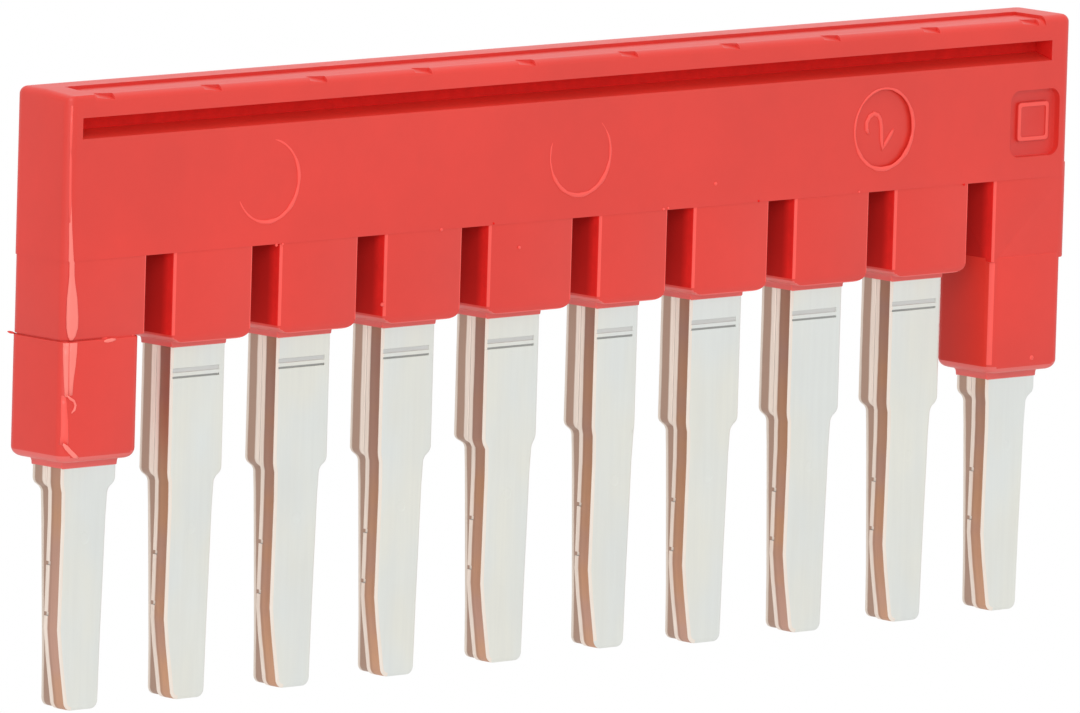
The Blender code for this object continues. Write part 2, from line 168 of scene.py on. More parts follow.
class HousingSettings(bpy.types.PropertyGroup):
    seam_step: length("Seam step", "How far the blocks lie inside the bar above them", 0.02)
    block_width: length("Block width", "Width of an inner block", 3.885)
    slot_top: length("Slot top", "Height of the slots' upper end", 3.62)
    underside: length("Underside", "Height of the inner blocks' underside", 0.28)
    end_round: length("End rounding", "Radius of the upright corners at the ends", 0.40)
    top_round: length("Top rounding", "Radius of the top edges", 0.30)
    block_round: length("Block rounding", "Radius of the upright edges along the slots", 0.12)
    foot_height: length("Foot height", "Height of the rounding under the inner blocks", 0.31)
    foot_width: length("Foot width", "Width of the rounding under the inner blocks", 0.62)
    collar_bottom: length("Collar bottom", "Height of the inner collars' underside", 0.03)
    ledge: length("Ledge height", "Height where the sleeves begin", 0.70)
    ledge_gap: length("Ledge gap", "Height of the fine gap above the ledge", 0.05)
    lip: length("Ledge lip", "How far a sleeve stands out past its block", 0.03)
    sleeve_inset: length("Sleeve inset", "How far a sleeve's right wall lies inside its block's", 0.20)
    sleeve_bottom: length("Sleeve bottom", "Height of the sleeves' underside", -3.75)
    sleeve_round: length("Sleeve rounding", "Radius of the sleeves' lower edges", 0.36)
    relief_depth: length("Relief depth", "How far the front half of the top is lowered", 0.12)
    relief_back: length("Relief back", "Where the lowered half of the top ends at the back", 0.20)
    groove_depth: length("Groove depth", "Depth of the long marking groove", 0.90)
    groove_draft: length("Groove draft", "Rise of the groove's lower wall to the back", 0.24)
    badge_depth: length("Recess depth", "Depth of the rounded square recess", 0.28)
    pad_height: length("Pad height", "How far the plain pad stands up in the recess", 0.10)
    red: colour("Red", "Colour of the moulded plastic", (0.705, 0.0375, 0.0245))
    # The darker red is painted shade in the slots and the groove; the dark specks use it too.
    shade_and_speck_colour: colour("Deep red", "Colour in the slots and the groove", (0.72, 0.020, 0.016))
    # The dull red is painted shade in the recess, the notches and on the relief's step.
    dull: colour("Dull red", "Colour of the recess, the notches and the relief's step", (0.68, 0.032, 0.022))
    # Paler, pinker red on the feet and collars: a painted reflection where they catch the light from below.
    worn: colour("Worn red", "Colour of the feet and collars", (0.76, 0.120, 0.105))
    roughness: FloatProperty(name="Roughness", description="Roughness of the moulded plastic",
                             default=0.42, min=0.0, max=1.0, subtype="FACTOR")


class CombSettings(bpy.types.PropertyGroup):
    seam: length("Seam", "Gap between the two combs", 0.012)
    rollover: length("Rollover", "Width of the rounding along the blades' faces", 0.14)
    roll_depth: length("Rollover depth", "Depth of the rounding along the blades' faces", 0.045)
    burr_edge: length("Inner edge", "Rounding of the blades' edges at the seam", 0.025)
    shoulder_round: length("Shoulder rounding", "Radius of the shoulders' corners", 0.15)
    tip_round: length("Tip rounding", "Radius of the tips' corners", 0.30)
    score_depth: length("Score depth", "Depth of the score lines under the housing", 0.05)
    dimple_depth: length("Dimple depth", "Depth of the dimple in each blade", 0.014)
    tick_depth: length("Tick depth", "Depth of the two nicks across the blades' seam", 0.13)
    tin: colour("Tin", "Colour of the plated faces", (0.80, 0.80, 0.77))
    copper: colour("Copper", "Colour of the cut edges", (0.555, 0.335, 0.250))
    dull: colour("Dull copper", "Colour of the rear comb's cut edges", (0.45, 0.295, 0.225))
    smear: colour("Smeared tin", "Colour of the bright strip along the cut edges", (0.90, 0.785, 0.695))


class MarkSettings(bpy.types.PropertyGroup):
    ring_radius: length("Ring radius", "Radius of the ring marks on the front", 1.52)
    ring_width: length("Ring width", "Width of the rings' raised line", 0.14)
    ring_height: length("Ring height", "How far the rings stand out", 0.045)
    ring_z: length("Ring level", "Height of the rings' middle", 5.98)
    disc_depth: length("Disc depth", "Depth of the disc inside the right ring", 0.12)
    digit_height: length("Digit height", "How far the digit stands up from the disc", 0.055)
    digit_turn: FloatProperty(name="Digit turn", description="Turn of the digit to the left",
                              default=math.radians(50.0), subtype="ANGLE", unit="ROTATION")
    # The mould flash is real; its paler red is a painted highlight where the rounded corner catches the
    # light.
    flash: colour("Flash", "Colour of the thin mould flash", (0.98, 0.20, 0.165))
    # The paler red is a painted highlight on the rings, the digit, the thinnest flash, the rounded edges
    # along the slots and the pad's rim; the pale specks use it too.
    faint: colour("Faint flash", "Colour of the rings and of the thinnest flash", (0.90, 0.085, 0.066))


class StageSettings(bpy.types.PropertyGroup):
    floor_drop: length("Floor drop", "How far the floor lies under the tips", 57.0)
    floor_colour: colour("Floor colour", "Colour of the floor", (0.86, 0.86, 0.86))
    ambient: FloatProperty(name="Ambient", description="Strength of the even light of the room",
                           default=0.72, min=0.0)
    key_power: FloatProperty(name="Key power", description="Power of the large lamp beside the camera",
                             default=1.4, min=0.0, unit="POWER")
    top_power: FloatProperty(name="Top power", description="Power of the lamp overhead",
                             default=1.5, min=0.0, unit="POWER")
    azimuth: FloatProperty(name="Azimuth", description="Turn of the camera to the left of the front",
                           default=math.radians(43.27212), subtype="ANGLE", unit="ROTATION")
    elevation: FloatProperty(name="Elevation", description="Angle of the camera above the horizon",
                             default=math.radians(7.519317), subtype="ANGLE", unit="ROTATION")
    roll: FloatProperty(name="Roll", description="Tilt of the camera about its own axis",
                        default=math.radians(-1.672132), subtype="ANGLE", unit="ROTATION")
    distance: FloatProperty(name="Distance", description="From the camera to the point it looks at",
                            default=0.7280295, unit="LENGTH")
    aim: FloatVectorProperty(name="Aim", description="Point that the camera looks at",
                             default=(-0.3233 * MM, 0.0254 * MM, -1.7103 * MM), size=3, precision=6,
                             subtype="TRANSLATION", unit="LENGTH")
    focal_length: FloatProperty(name="Focal length", description="Focal length for a 36 mm wide image",
                                default=655.255, unit="CAMERA")


class JumperBarSettings(bpy.types.PropertyGroup):
    housing: PointerProperty(type=HousingSettings, name="Housing", description="The moulded bar")
    combs: PointerProperty(type=CombSettings, name="Combs", description="The stamped blades")
    marks: PointerProperty(type=MarkSettings, name="Marks", description="Rings and mould flash")
    stage: PointerProperty(type=StageSettings, name="Stage", description="Floor, lamps and camera")


# Mesh helpers

def pole_x(index):
    """Middle of a pole, counted from 0 at the left."""
    return (index - (POLES - 1) / 2.0) * PITCH


def odd(index, key):
    """How far one edge of a blade stands off the even pitch, 0 for most blades."""
    if index not in ODD_BLADES:
        return 0.0
    return ODD_BLADES[index][ODD_EDGES.index(key)] * MM


def cuboid(low, high):
    """A box between two corners."""
    bm = bmesh.new()
    bmesh.ops.create_cube(bm, size=1.0)
    low, high = Vector(low), Vector(high)
    bmesh.ops.scale(bm, vec=high - low, verts=bm.verts)
    bmesh.ops.translate(bm, vec=(high + low) / 2.0, verts=bm.verts)
    return bm


def near(a, b):
    return abs(a - b) < NEAR


def along(edge, axis):
    """True if an edge runs along one axis, 0 for X, 1 for Y and 2 for Z."""
    a, b = edge.verts[0].co, edge.verts[1].co
    return all(near(a[i], b[i]) for i in range(3) if i != axis)


def at(edge, axis, value):
    return near(edge.verts[0].co[axis], value) and near(edge.verts[1].co[axis], value)


def soften(bm, edges, radius, segments, clamp=True):
    """Rounds edges."""
    bmesh.ops.scale(bm, vec=(ENLARGED,) * 3, verts=bm.verts)
    bmesh.ops.bevel(bm, geom=edges, offset=radius * ENLARGED, offset_type="OFFSET", segments=segments,
                    profile=0.5, affect="EDGES", material=-1, clamp_overlap=clamp, loop_slide=True)
    bmesh.ops.scale(bm, vec=(1.0 / ENLARGED,) * 3, verts=bm.verts)


def only(kind, geometry):
    """The elements of one kind in an operator's result."""
    return [g for g in geometry if isinstance(g, kind)]


def extrude(bm, faces, vec, keep=False):
    """Pushes faces out and returns the new ones. The faces it starts from are dropped, unless they
    close the other end."""
    out = bmesh.ops.extrude_face_region(bm, geom=faces)["geom"]
    if not keep:
        bmesh.ops.delete(bm, geom=faces, context="FACES_ONLY")
    bmesh.ops.translate(bm, vec=vec, verts=only(bmesh.types.BMVert, out))
    return only(bmesh.types.BMFace, out)


def join(parts):
    """Several bmeshes as one."""
    whole = bmesh.new()
    for part in parts:
        mesh = bpy.data.meshes.new("part")
        part.to_mesh(mesh)
        part.free()
        whole.from_mesh(mesh)
        bpy.data.meshes.remove(mesh)
    return whole


def new_object(name, bm, materials=()):
    bmesh.ops.recalc_face_normals(bm, faces=bm.faces)
    mesh = bpy.data.meshes.new(name)
    bm.to_mesh(mesh)
    bm.free()
    obj = bpy.data.objects.new(name, mesh)
    bpy.context.scene.collection.objects.link(obj)
    for material in materials:
        mesh.materials.append(material)
    return obj


def combine(target, shapes, operation):
    """Adds or cuts closed shapes one after the other with the exact solver."""
    for bm in shapes:
        tool = new_object("tool", bm)
        for mesh in (target.data, tool.data):
            mesh.transform(Matrix.Scale(ENLARGED, 4))
        modifier = target.modifiers.new("cut", "BOOLEAN")
        modifier.operation = operation
        modifier.solver = "EXACT"
        modifier.object = tool
        result = bpy.data.meshes.new_from_object(target.evaluated_get(bpy.context.evaluated_depsgraph_get()))
        target.modifiers.remove(modifier)
        old = target.data
        result.transform(Matrix.Scale(1.0 / ENLARGED, 4))
        result.name = target.name
        target.data = result
        bpy.data.meshes.remove(old)
        bpy.data.objects.remove(tool, do_unlink=True)


def tidy(obj):
    """Merges what coincides, joins flat neighbours and shades the curves smooth."""
    bm = bmesh.new()
    bm.from_mesh(obj.data)
    bmesh.ops.remove_doubles(bm, verts=bm.verts, dist=MERGE)
    bmesh.ops.dissolve_limit(bm, angle_limit=FLAT, verts=bm.verts, edges=bm.edges, delimit={"MATERIAL"})
    bm.to_mesh(obj.data)
    bm.free()
    obj.data.shade_smooth()
    obj.data.set_sharp_from_angle(angle=SHARP)


def ribbon(stations):
    """A rounded raised line. Each station is a middle, a half width and a height vector."""
    bm = bmesh.new()
    bmesh.ops.create_circle(bm, cap_ends=True, segments=12, radius=1.0)
    cap = bm.faces[:]
    for step in range(1, len(stations)):
        cap = extrude(bm, cap, (0.0, 0.0, 1.0), keep=(step == 1))
    for vert in bm.verts:
        middle, across, outward = stations[round(vert.co.z)]
        vert.co = middle + across * vert.co.x + outward * vert.co.y
    return bm


# Materials

def rgba(value):
    """A socket's colour from a grey, or from red, green and blue."""
    if isinstance(value, (int, float)):
        value = (value,) * 3
    return (*value, 1.0)


class Finish:
    """A material with short ways to add its nodes."""

    def __init__(self, name):
        self.material = bpy.data.materials.new(name)
        self.material.use_nodes = True
        self.tree = self.material.node_tree
        self.shader = self.tree.nodes["Principled BSDF"]
        self.place = self.tree.nodes.new("ShaderNodeTexCoord").outputs["Object"]

    def node(self, kind, **values):
        node = self.tree.nodes.new(kind)
        for key, value in values.items():
            setattr(node, key, value)
        return node

    def link(self, source, target):
        self.tree.links.new(source, target)

    def feed(self, socket, value):
        """Links an output to a socket, or sets the socket's own number or colour."""
        if isinstance(value, bpy.types.NodeSocket):
            self.link(value, socket)
        else:
            socket.default_value = rgba(value) if socket.type == "RGBA" else value

    def axis(self, name):
        """X, Y or Z of the place on the piece."""
        node = self.node("ShaderNodeSeparateXYZ")
        self.link(self.place, node.inputs["Vector"])
        return node.outputs[name]

    def stretched(self, x, y, z):
        mapping = self.node("ShaderNodeMapping")
        mapping.inputs["Scale"].default_value = (x, y, z)
        self.link(self.place, mapping.inputs["Vector"])
        return mapping.outputs["Vector"]

    def noise(self, scale, detail=3.0, rough=0.55, where=None):
        node = self.node("ShaderNodeTexNoise")
        node.inputs["Scale"].default_value = scale
        node.inputs["Detail"].default_value = detail
        node.inputs["Roughness"].default_value = rough
        self.link(where or self.place, node.inputs["Vector"])
        return node.outputs["Fac"]

    def ramp(self, source, *stops):
        node = self.node("ShaderNodeValToRGB")
        ramp = node.color_ramp
        while len(ramp.elements) < len(stops):
            ramp.elements.new(0.5)
        for element, (position, value) in zip(ramp.elements, stops):
            element.position = position
            element.color = rgba(value)
        self.link(source, node.inputs["Fac"])
        return node.outputs["Color"]

    def mix(self, factor, a, b, blend="MIX"):
        node = self.node("ShaderNodeMix", data_type="RGBA", blend_type=blend)
        for name, value in (("Factor", factor), ("A", a), ("B", b)):
            self.feed(node.inputs[name], value)
        return node.outputs["Result"]

    def math(self, operation, a, b=0.0):
        node = self.node("ShaderNodeMath", operation=operation)
        self.feed(node.inputs[0], a)
        self.feed(node.inputs[1], b)
        return node.outputs["Value"]

    def share(self, value, low, high):
        """0 where the value is low, 1 where it is high, and on in the same way past both."""
        return self.math("MULTIPLY", self.math("SUBTRACT", value, low), 1.0 / (high - low))

    def bump(self, height, strength):
        node = self.node("ShaderNodeBump")
        node.inputs["Strength"].default_value = strength
        node.inputs["Distance"].default_value = BUMP_DEPTH
        self.link(height, node.inputs["Height"])
        self.link(node.outputs["Normal"], self.shader.inputs["Normal"])

    def set(self, **values):
        for key, value in values.items():
            self.feed(self.shader.inputs[key.replace("_", " ").title().replace("Ior", "IOR")], value)


def shade(rgb, factor):
    return tuple(min(1.0, c * factor) for c in rgb)


def tinted(rgb, factors):
    return tuple(c * factor for c, factor in zip(rgb, factors))


def red_plastic(settings, name, red, far_shade_share=1.0):
    """Moulded polyamide: a fine grain, faint clouds in the colour and in the sheen. It can have painted
    shade that darkens it towards the back, and then it hardly shines."""
    finish = Finish(name)
    clouds = finish.noise(160.0, 4.0)
    fine = finish.noise(1500.0, 5.0, 0.6)
    base = finish.mix(finish.ramp(clouds, (0.35, 0.0), (0.68, 1.0)), shade(red, 0.95), shade(red, 1.05))
    base = finish.mix(finish.ramp(fine, (0.30, 0.12), (0.70, 0.0)), base, shade(red, 0.80))
    if far_shade_share < 1.0:
        # Painted shade: darker towards the back.
        back = finish.share(finish.axis("Y"), -1.2 * MM, 1.2 * MM)
        base = finish.mix(finish.ramp(back, (0.0, 0.0), (0.75, 1.0)), base, shade(red, far_shade_share))
        finish.set(specular_ior_level=0.15)
    sheen = finish.mix(clouds, settings.roughness - 0.05, settings.roughness + 0.05)
    finish.set(base_color=base, roughness=sheen)
    finish.bump(finish.mix(0.35, finish.noise(9000.0, 2.0, 0.5), fine), 0.10)
    return finish.material


def recess_shade_and_speck_finish(settings):
    """The same plastic in the slots and the groove, where the mould left it rough and dull, in a darker red
    that is painted shade there; the dark specks use it too. The painted shade is darker still further into
    the slots."""
    finish = Finish("recessed_red")
    fine = finish.noise(1900.0, 5.0, 0.6)
    base = finish.mix(finish.ramp(fine, (0.30, 0.0), (0.70, 1.0)), shade(settings.shade_and_speck_colour, 0.92),
                      shade(settings.shade_and_speck_colour, 1.08))
    # Painted shade: darker further into the slots, below the bar.
    slot_depth_shade = finish.ramp(finish.share(finish.axis("Y"), -1.45 * MM, -0.45 * MM), (0.28, 0.0), (0.62, 1.0))
    in_slots = finish.math("LESS_THAN", finish.axis("Z"), 4.5 * MM)
    base = finish.mix(finish.math("MULTIPLY", slot_depth_shade, in_slots), base, shade(settings.shade_and_speck_colour, 0.67))
    finish.set(base_color=base, roughness=finish.mix(fine, 0.62, 0.75), specular_ior_level=0.06)
    finish.bump(fine, 0.15)
    return finish.material


def tin_face(settings):
    """Matte tin plating with faint rolling lines down the blade and small stains."""
    finish = Finish("tin_plating")
    clouds = finish.noise(220.0, 4.0)
    tint = finish.noise(1.0, 2.0, 0.5, finish.stretched(420.0, 420.0, 190.0))
    lines = finish.noise(1.0, 3.0, 0.6, finish.stretched(5200.0, 900.0, 260.0))
    warm = tinted(settings.tin, (1.0, 1.0, 0.955))
    cool = tinted(settings.tin, (0.965, 0.995, 1.0))
    base = finish.mix(finish.ramp(tint, (0.38, 0.0), (0.62, 1.0)), warm, cool)
    base = finish.mix(finish.ramp(clouds, (0.32, 0.08), (0.70, 0.0)), base, shade(settings.tin, 0.6))
    base = finish.mix(finish.ramp(lines, (0.35, 0.10), (0.62, 0.0)), base, shade(settings.tin, 0.72))
    finish.set(base_color=base, metallic=1.0, roughness=finish.mix(lines, 0.36, 0.48))
    finish.bump(lines, 0.06)
    return finish.material


def rim_highlight_finish(settings):
    """The rounded edge along the faces in a paler, cream tin: a painted highlight along the rollover."""
    finish = Finish("rim_highlight")
    spots = finish.noise(1.0, 3.0, 0.6, finish.stretched(2500.0, 2500.0, 500.0))
    finish.set(base_color=finish.mix(spots, shade(settings.smear, 0.86), (0.88, 0.80, 0.71)), metallic=0.45,
               roughness=finish.mix(spots, 0.36, 0.46))
    return finish.material


def cut_edge(settings):
    """Sheared edge: bare copper outside, and a bright smear of tin next to the seam, a little darker right at
    the seam as painted shade. The copper has painted shade towards the top, under the housing. On the rear
    comb the copper is duller and ends in a pale line, a painted highlight along its rim."""
    finish = Finish("sheared_edge")
    wobble = finish.noise(1.0, 3.0, 0.6, finish.stretched(500.0, 500.0, 420.0))
    streaks = finish.noise(1.0, 4.0, 0.65, finish.stretched(9000.0, 16000.0, 330.0))
    across = finish.math("MULTIPLY", finish.math("ABSOLUTE", finish.axis("Y")), 1.0 / SHEET_FACE)
    across = finish.math("ADD", across, finish.math("MULTIPLY", finish.math("SUBTRACT", wobble, 0.5), 0.10))
    tone = finish.noise(1.0, 2.0, 0.5, finish.stretched(60.0, 60.0, 380.0))
    orange = tinted(settings.copper, (1.12, 1.04, 0.86))
    pink = tinted(settings.copper, (1.02, 1.00, 1.03))
    copper = finish.mix(finish.ramp(tone, (0.40, 0.0), (0.60, 1.0)), orange, pink)
    # Painted shade: the copper is darker towards the top, under the housing.
    height = finish.share(finish.axis("Z"), -13.0 * MM, 0.0)
    lit = finish.ramp(height, (0.20, 1.0), (0.55, (0.84, 0.83, 0.82)), (0.92, (0.70, 0.68, 0.70)))
    copper = finish.mix(1.0, copper, lit, "MULTIPLY")
    # Painted shade: the smear is a little darker right at the seam between the combs.
    bright = finish.ramp(across, (0.02, shade(settings.smear, 0.85)), (0.05, settings.smear))
    front = finish.mix(finish.ramp(across, (0.25, 0.0), (0.32, 1.0)), bright, copper)
    dark_line = finish.ramp(across, (0.29, 0.0), (0.34, 0.35), (0.50, 0.0))
    front = finish.mix(dark_line, front, shade(settings.copper, 0.45))
    rear = finish.mix(finish.ramp(across, (0.26, 0.0), (0.33, 1.0)), bright, settings.dull)
    # Painted highlight: the pale line where the rear comb's edge meets its rollover.
    rear = finish.mix(finish.ramp(across, (0.77, 0.0), (0.84, 0.8)), rear, (0.95, 0.86, 0.76))
    bands = finish.mix(finish.math("GREATER_THAN", finish.axis("Y"), 0.0), front, rear)
    worn = finish.ramp(streaks, (0.30, 0.40), (0.62, 0.0))
    base = finish.mix(worn, bands, finish.mix(0.5, bands, shade(settings.copper, 0.62)))
    finish.set(base_color=base, metallic=0.80, roughness=finish.mix(streaks, 0.40, 0.58))
    finish.bump(streaks, 0.25)
    return finish.material


def score_shade_tin(name, grey):
    """Floor of a score line, where the tool burnished the tin; its darker grey is painted shade in the narrow
    cut.
    """
    finish = Finish(name)
    spots = finish.noise(1.0, 3.0, 0.6, finish.stretched(500.0, 3000.0, 6000.0))
    tin = (grey, grey, grey * 0.97)
    finish.set(base_color=finish.mix(spots, shade(tin, 0.8), tin), metallic=0.9,
               roughness=finish.mix(spots, 0.40, 0.55))
    return finish.material


def material(name, make, *arguments):
    """A material by name, made the first time it is asked for."""
    return bpy.data.materials.get(name) or make(*arguments)


def red(bar, name):
    """One of the housing's red finishes by its name."""
    s, m = bar.housing, bar.marks
    if name == "recessed_red":
        return material(name, recess_shade_and_speck_finish, s)
    colours = {"moulded_red": s.red, "dull_red": s.dull, "worn_red": s.worn, "inner_wall_red": s.red,
               "faint_flash": m.faint, "pale_flash": m.flash}
    far_shade_share = INNER_WALL_SHADE_SHARE if name == "inner_wall_red" else 1.0
    return material(name, red_plastic, s, name, colours[name], far_shade_share)


# Housing

def block_walls(index, width):
    """Left and right wall of a block; the end blocks reach the ends of the bar."""
    left = pole_x(index) - width / 2.0 + odd(index, "wall")
    right = pole_x(index) + width / 2.0 + odd(index + 1, "wall")
    if index == 0:
        left = -BAR_END
    if index == POLES - 1:
        right = BAR_END
    return left + MISMATCH, right + MISMATCH


def wide_span(index):
    """Left and right edge of the wide part of a blade."""
    return (pole_x(index) + WIDE_LEFT + odd(index, "wide_left"),
            pole_x(index) + WIDE_RIGHT + odd(index, "wide_right"))


def make_bar(s, front):
    """The upper bar, rounded at its ends and top."""
    bm = cuboid((-BAR_END + BAR_DRAFT, front, s.slot_top), (BAR_END, -front, BAR_HIGH[2]))
    soften(bm, [e for e in bm.edges if along(e, 2)], s.end_round, 8)
    soften(bm, [e for e in bm.edges if at(e, 2, BAR_HIGH[2])], s.top_round, 8)
    return bm


def push_on(bm, z, stations, depth=1.0):
    """Pushes the level end of an upright box on. Each station is the way beyond z and the inset
    there, which counts fully along X and by the given share along Y."""
    cap = [f for f in bm.faces if all(near(v.co.z, z) for v in f.verts)]
    side = 1.0 if cap[0].normal.z > 0.0 else -1.0
    points = [v.co for v in cap[0].verts]
    low = Vector([min(p[i] for p in points) for i in range(3)])
    high = Vector([max(p[i] for p in points) for i in range(3)])
    middle, size = (low + high) / 2.0, high - low
    share = (1.0, depth)
    way, inset = 0.0, 0.0
    for further, narrower in stations:
        cap = extrude(bm, cap, (0.0, 0.0, side * (further - way)))
        for vert in {v for f in cap for v in f.verts}:
            for i in (0, 1):
                factor = (size[i] - 2.0 * narrower * share[i]) / (size[i] - 2.0 * inset * share[i])
                vert.co[i] = middle[i] + (vert.co[i] - middle[i]) * factor
        way, inset = further, narrower


def quarter(height, steps, width=None):
    """Stations of a quarter round, or of a quarter of an ellipse if the width differs."""
    angles = [math.radians(90.0 * k / steps) for k in range(1, steps + 1)]
    return [(height * math.sin(a), (width or height) * (1.0 - math.cos(a))) for a in angles]


def upright_box(low, high, ends_round, slot_round, foot, foot_steps, foot_depth=1.0):
    """A box with rounded upright edges, more at the bar's ends than in the slots, and a rounded
    foot of a given height and width."""
    bm = cuboid((low[0], low[1], low[2] + foot[0]), high)
    far = [e for e in bm.edges if along(e, 2) and abs(e.verts[0].co.x) > BAR_END - END_ZONE]
    close = [e for e in bm.edges if along(e, 2) and e not in far]
    if far:
        soften(bm, far, ends_round, 8)
    soften(bm, [e for e in close if e.is_valid], slot_round, 3)
    bm.normal_update()
    push_on(bm, low[2] + foot[0], quarter(foot[0], foot_steps, foot[1]), foot_depth)
    return bm


def make_blocks(s, front):
    """The ten blocks under the bar, a little inside its faces."""
    parts = []
    into_bar, into_sleeve, end_foot, foot_depth = 0.5 * MM, 0.20 * MM, 0.04 * MM, 0.06
    for index in range(POLES):
        left, right = block_walls(index, s.block_width)
        bottom, foot, steps, depth = s.underside, (s.foot_height, s.foot_width), 6, foot_depth
        if index in END_POLES:
            bottom = s.ledge + s.ledge_gap if index == 0 else s.ledge - into_sleeve
            foot, steps, depth = (end_foot, end_foot), 2, 1.0
        parts.append(upright_box((left, front + s.seam_step, bottom),
                                 (right, -front - s.seam_step, s.slot_top + into_bar),
                                 s.end_round, s.block_round, foot, steps, depth))
    return parts


def make_neck(s, front):
    """Joins the left block to its sleeve, a little inside both, which leaves a fine gap. The gap
    ends on the front where a second piece fills it."""
    left, right = block_walls(0, s.block_width)
    far, low, high = right - s.sleeve_inset, s.ledge - 0.4 * MM, s.ledge + 0.6 * MM
    gap_x, gap_y = 0.07 * MM, 0.09 * MM
    neck_round = s.end_round - 0.05 * MM
    neck = upright_box((left + gap_x, front + gap_y, low), (far - gap_x, -front - gap_y, high),
                       neck_round, neck_round, (SLACK, SLACK), 1)
    fill_from, fill_far, fill_front, fill_back = 1.70 * MM, 0.05 * MM, 0.03 * MM, 0.13 * MM
    fill = upright_box((left + fill_from, front + fill_front, low + 0.1 * MM),
                       (far - fill_far, -front - fill_back, high - 0.1 * MM),
                       s.end_round, s.end_round, (SLACK, SLACK), 1)
    return [neck, fill]


def make_sleeve(s, front, index):
    """The part of an end block that reaches down round its blades. The right one hardly has a lip."""
    left, right = block_walls(index, s.block_width)
    lip = s.lip if index == 0 else 0.3 * s.lip
    brim, foot_depth = 0.04 * MM, 0.7
    bm = upright_box((left - lip, front - lip, s.sleeve_bottom),
                     (right - s.sleeve_inset, -front - s.lip / 2.0, s.ledge - brim),
                     s.end_round, s.end_round, (s.sleeve_round, s.sleeve_round), 7, foot_depth)
    push_on(bm, s.ledge - brim, quarter(brim, 3))
    return bm


def make_collar(s, index):
    """Low rim close round the blades under a block. It runs out of the block in a hollow curve."""
    left, right = wide_span(index)
    bottom = s.sleeve_bottom - SLEEVE_COLLAR if index in END_POLES else s.collar_bottom
    hollow = [(way * MM, inset * MM) for way, inset in COLLAR_HOLLOW]
    height, flare = hollow[-1]
    foot_round, half_depth, corner = 0.06 * MM, 0.90 * MM, 0.06 * MM
    start = bottom + height + foot_round
    bm = upright_box((left - 0.05 * MM - flare, -half_depth, start),
                     (right + 0.04 * MM + flare, half_depth, start + 0.4 * MM),
                     corner, corner, (SLACK, SLACK), 1)
    foot = [(height + way, flare + inset) for way, inset in quarter(foot_round, 3, foot_round / 2.0)]
    push_on(bm, start, hollow + foot, 0.25)
    return bm


def make_relief(s, face, back, left, right):
    """Cutter for a lowered part of the top, with its own rounded edge along the face."""
    floor = BAR_HIGH[2] - s.relief_depth
    turn, run_on, clear = math.radians(75.0), 0.3 * MM, 1.2 * MM
    bm = bmesh.new()
    start = bm.verts.new((left, face + s.top_round, floor))
    out = bmesh.ops.spin(bm, geom=[start], cent=(left, face + s.top_round, floor - s.top_round),
                         axis=(1.0, 0.0, 0.0), angle=turn, steps=8)
    last = only(bmesh.types.BMVert, out["geom_last"])[0]
    if last.co.y > face + s.top_round:
        raise RuntimeError("the relief's edge turned to the wrong side")
    low = last.co - Vector((0.0, math.cos(turn) * run_on, math.sin(turn) * run_on))
    for y, z in ((low.y, low.z), (low.y, low.z + clear), (back, low.z + clear), (back, floor)):
        corner = bm.verts.new((left, y, z))
        bm.edges.new((last, corner))
        last = corner
    bm.edges.new((last, start))
    outline = bmesh.ops.contextual_create(bm, geom=bm.edges[:])["faces"]
    extrude(bm, outline, (right - left, 0.0, 0.0), keep=True)
    return bm


def make_reliefs(s, front):
    """The front half of the top is lowered. At the left end the top slopes to the back instead."""
    along_front = make_relief(s, front, s.relief_back, RELIEF_LEFT, RELIEF_RIGHT)
    overlap, half_length, below = 0.03 * MM, 2.0 * MM, 0.01 * MM
    left_end = make_relief(s, -BAR_END + BAR_DRAFT, RELIEF_LEFT + overlap, -half_length, half_length)
    bmesh.ops.rotate(left_end, cent=(0.0, 0.0, 0.0), matrix=Matrix.Rotation(math.radians(-90.0), 3, "Z"),
                     verts=left_end.verts)
    slope = (s.relief_depth + below) / (s.relief_back - front)
    for vert in left_end.verts:
        vert.co.z += (vert.co.y - front) * slope
    return [along_front, left_end]


def make_groove(s, front):
    """Cutter for the long groove. Its lower wall rises to the back."""
    bm = cuboid((GROOVE_LEFT, front - 0.2 * MM, GROOVE_LOW),
                (GROOVE_RIGHT, front + s.groove_depth, GROOVE_HIGH))
    slope = s.groove_draft / s.groove_depth
    for vert in bm.verts:
        if near(vert.co.z, GROOVE_LOW):
            vert.co.z += (vert.co.y - front) * slope
    return bm


def make_notches(s, front):
    """Cutters above the blades: each notch deepens to the right and to the front, and ends there
    in a steep wall."""
    parts = []
    start, forward, fall, shear = 0.46 * MM, 1.2 * MM, 0.42 * MM, 0.25
    for index in range(POLES):
        bm = bmesh.new()
        face = bm.faces.new([bm.verts.new((x * MM, 0.0, z * MM)) for x, z in NOTCH])
        extrude(bm, [face], (0.0, -forward, -fall), keep=True)
        for vert in bm.verts:
            vert.co.y -= (vert.co.x - NOTCH[0][0] * MM) * shear
        place = (pole_x(index) - 0.04 * MM, front + start, BAR_HIGH[2] - s.relief_depth)
        bmesh.ops.translate(bm, vec=place, verts=bm.verts)
        parts.append(bm)
    return parts


def rounded_pad(centre, size, low_y, high_y, radius, edge):
    """A rounded rectangle that stands along Y, its face at high_y softened."""
    x, z = centre
    width, height = size
    bm = cuboid((x - width / 2.0, min(low_y, high_y), z - height / 2.0),
                (x + width / 2.0, max(low_y, high_y), z + height / 2.0))
    soften(bm, [e for e in bm.edges if along(e, 1)], radius, 6)
    soften(bm, [e for e in bm.edges if at(e, 1, high_y)], edge, 2)
    return bm


def make_badge(s, front):
    """Cutter for the rounded square recess near the right end."""
    return rounded_pad(BADGE, BADGE_SIZE, front - 0.5 * MM, front + s.badge_depth, 0.45 * MM, 0.05 * MM)


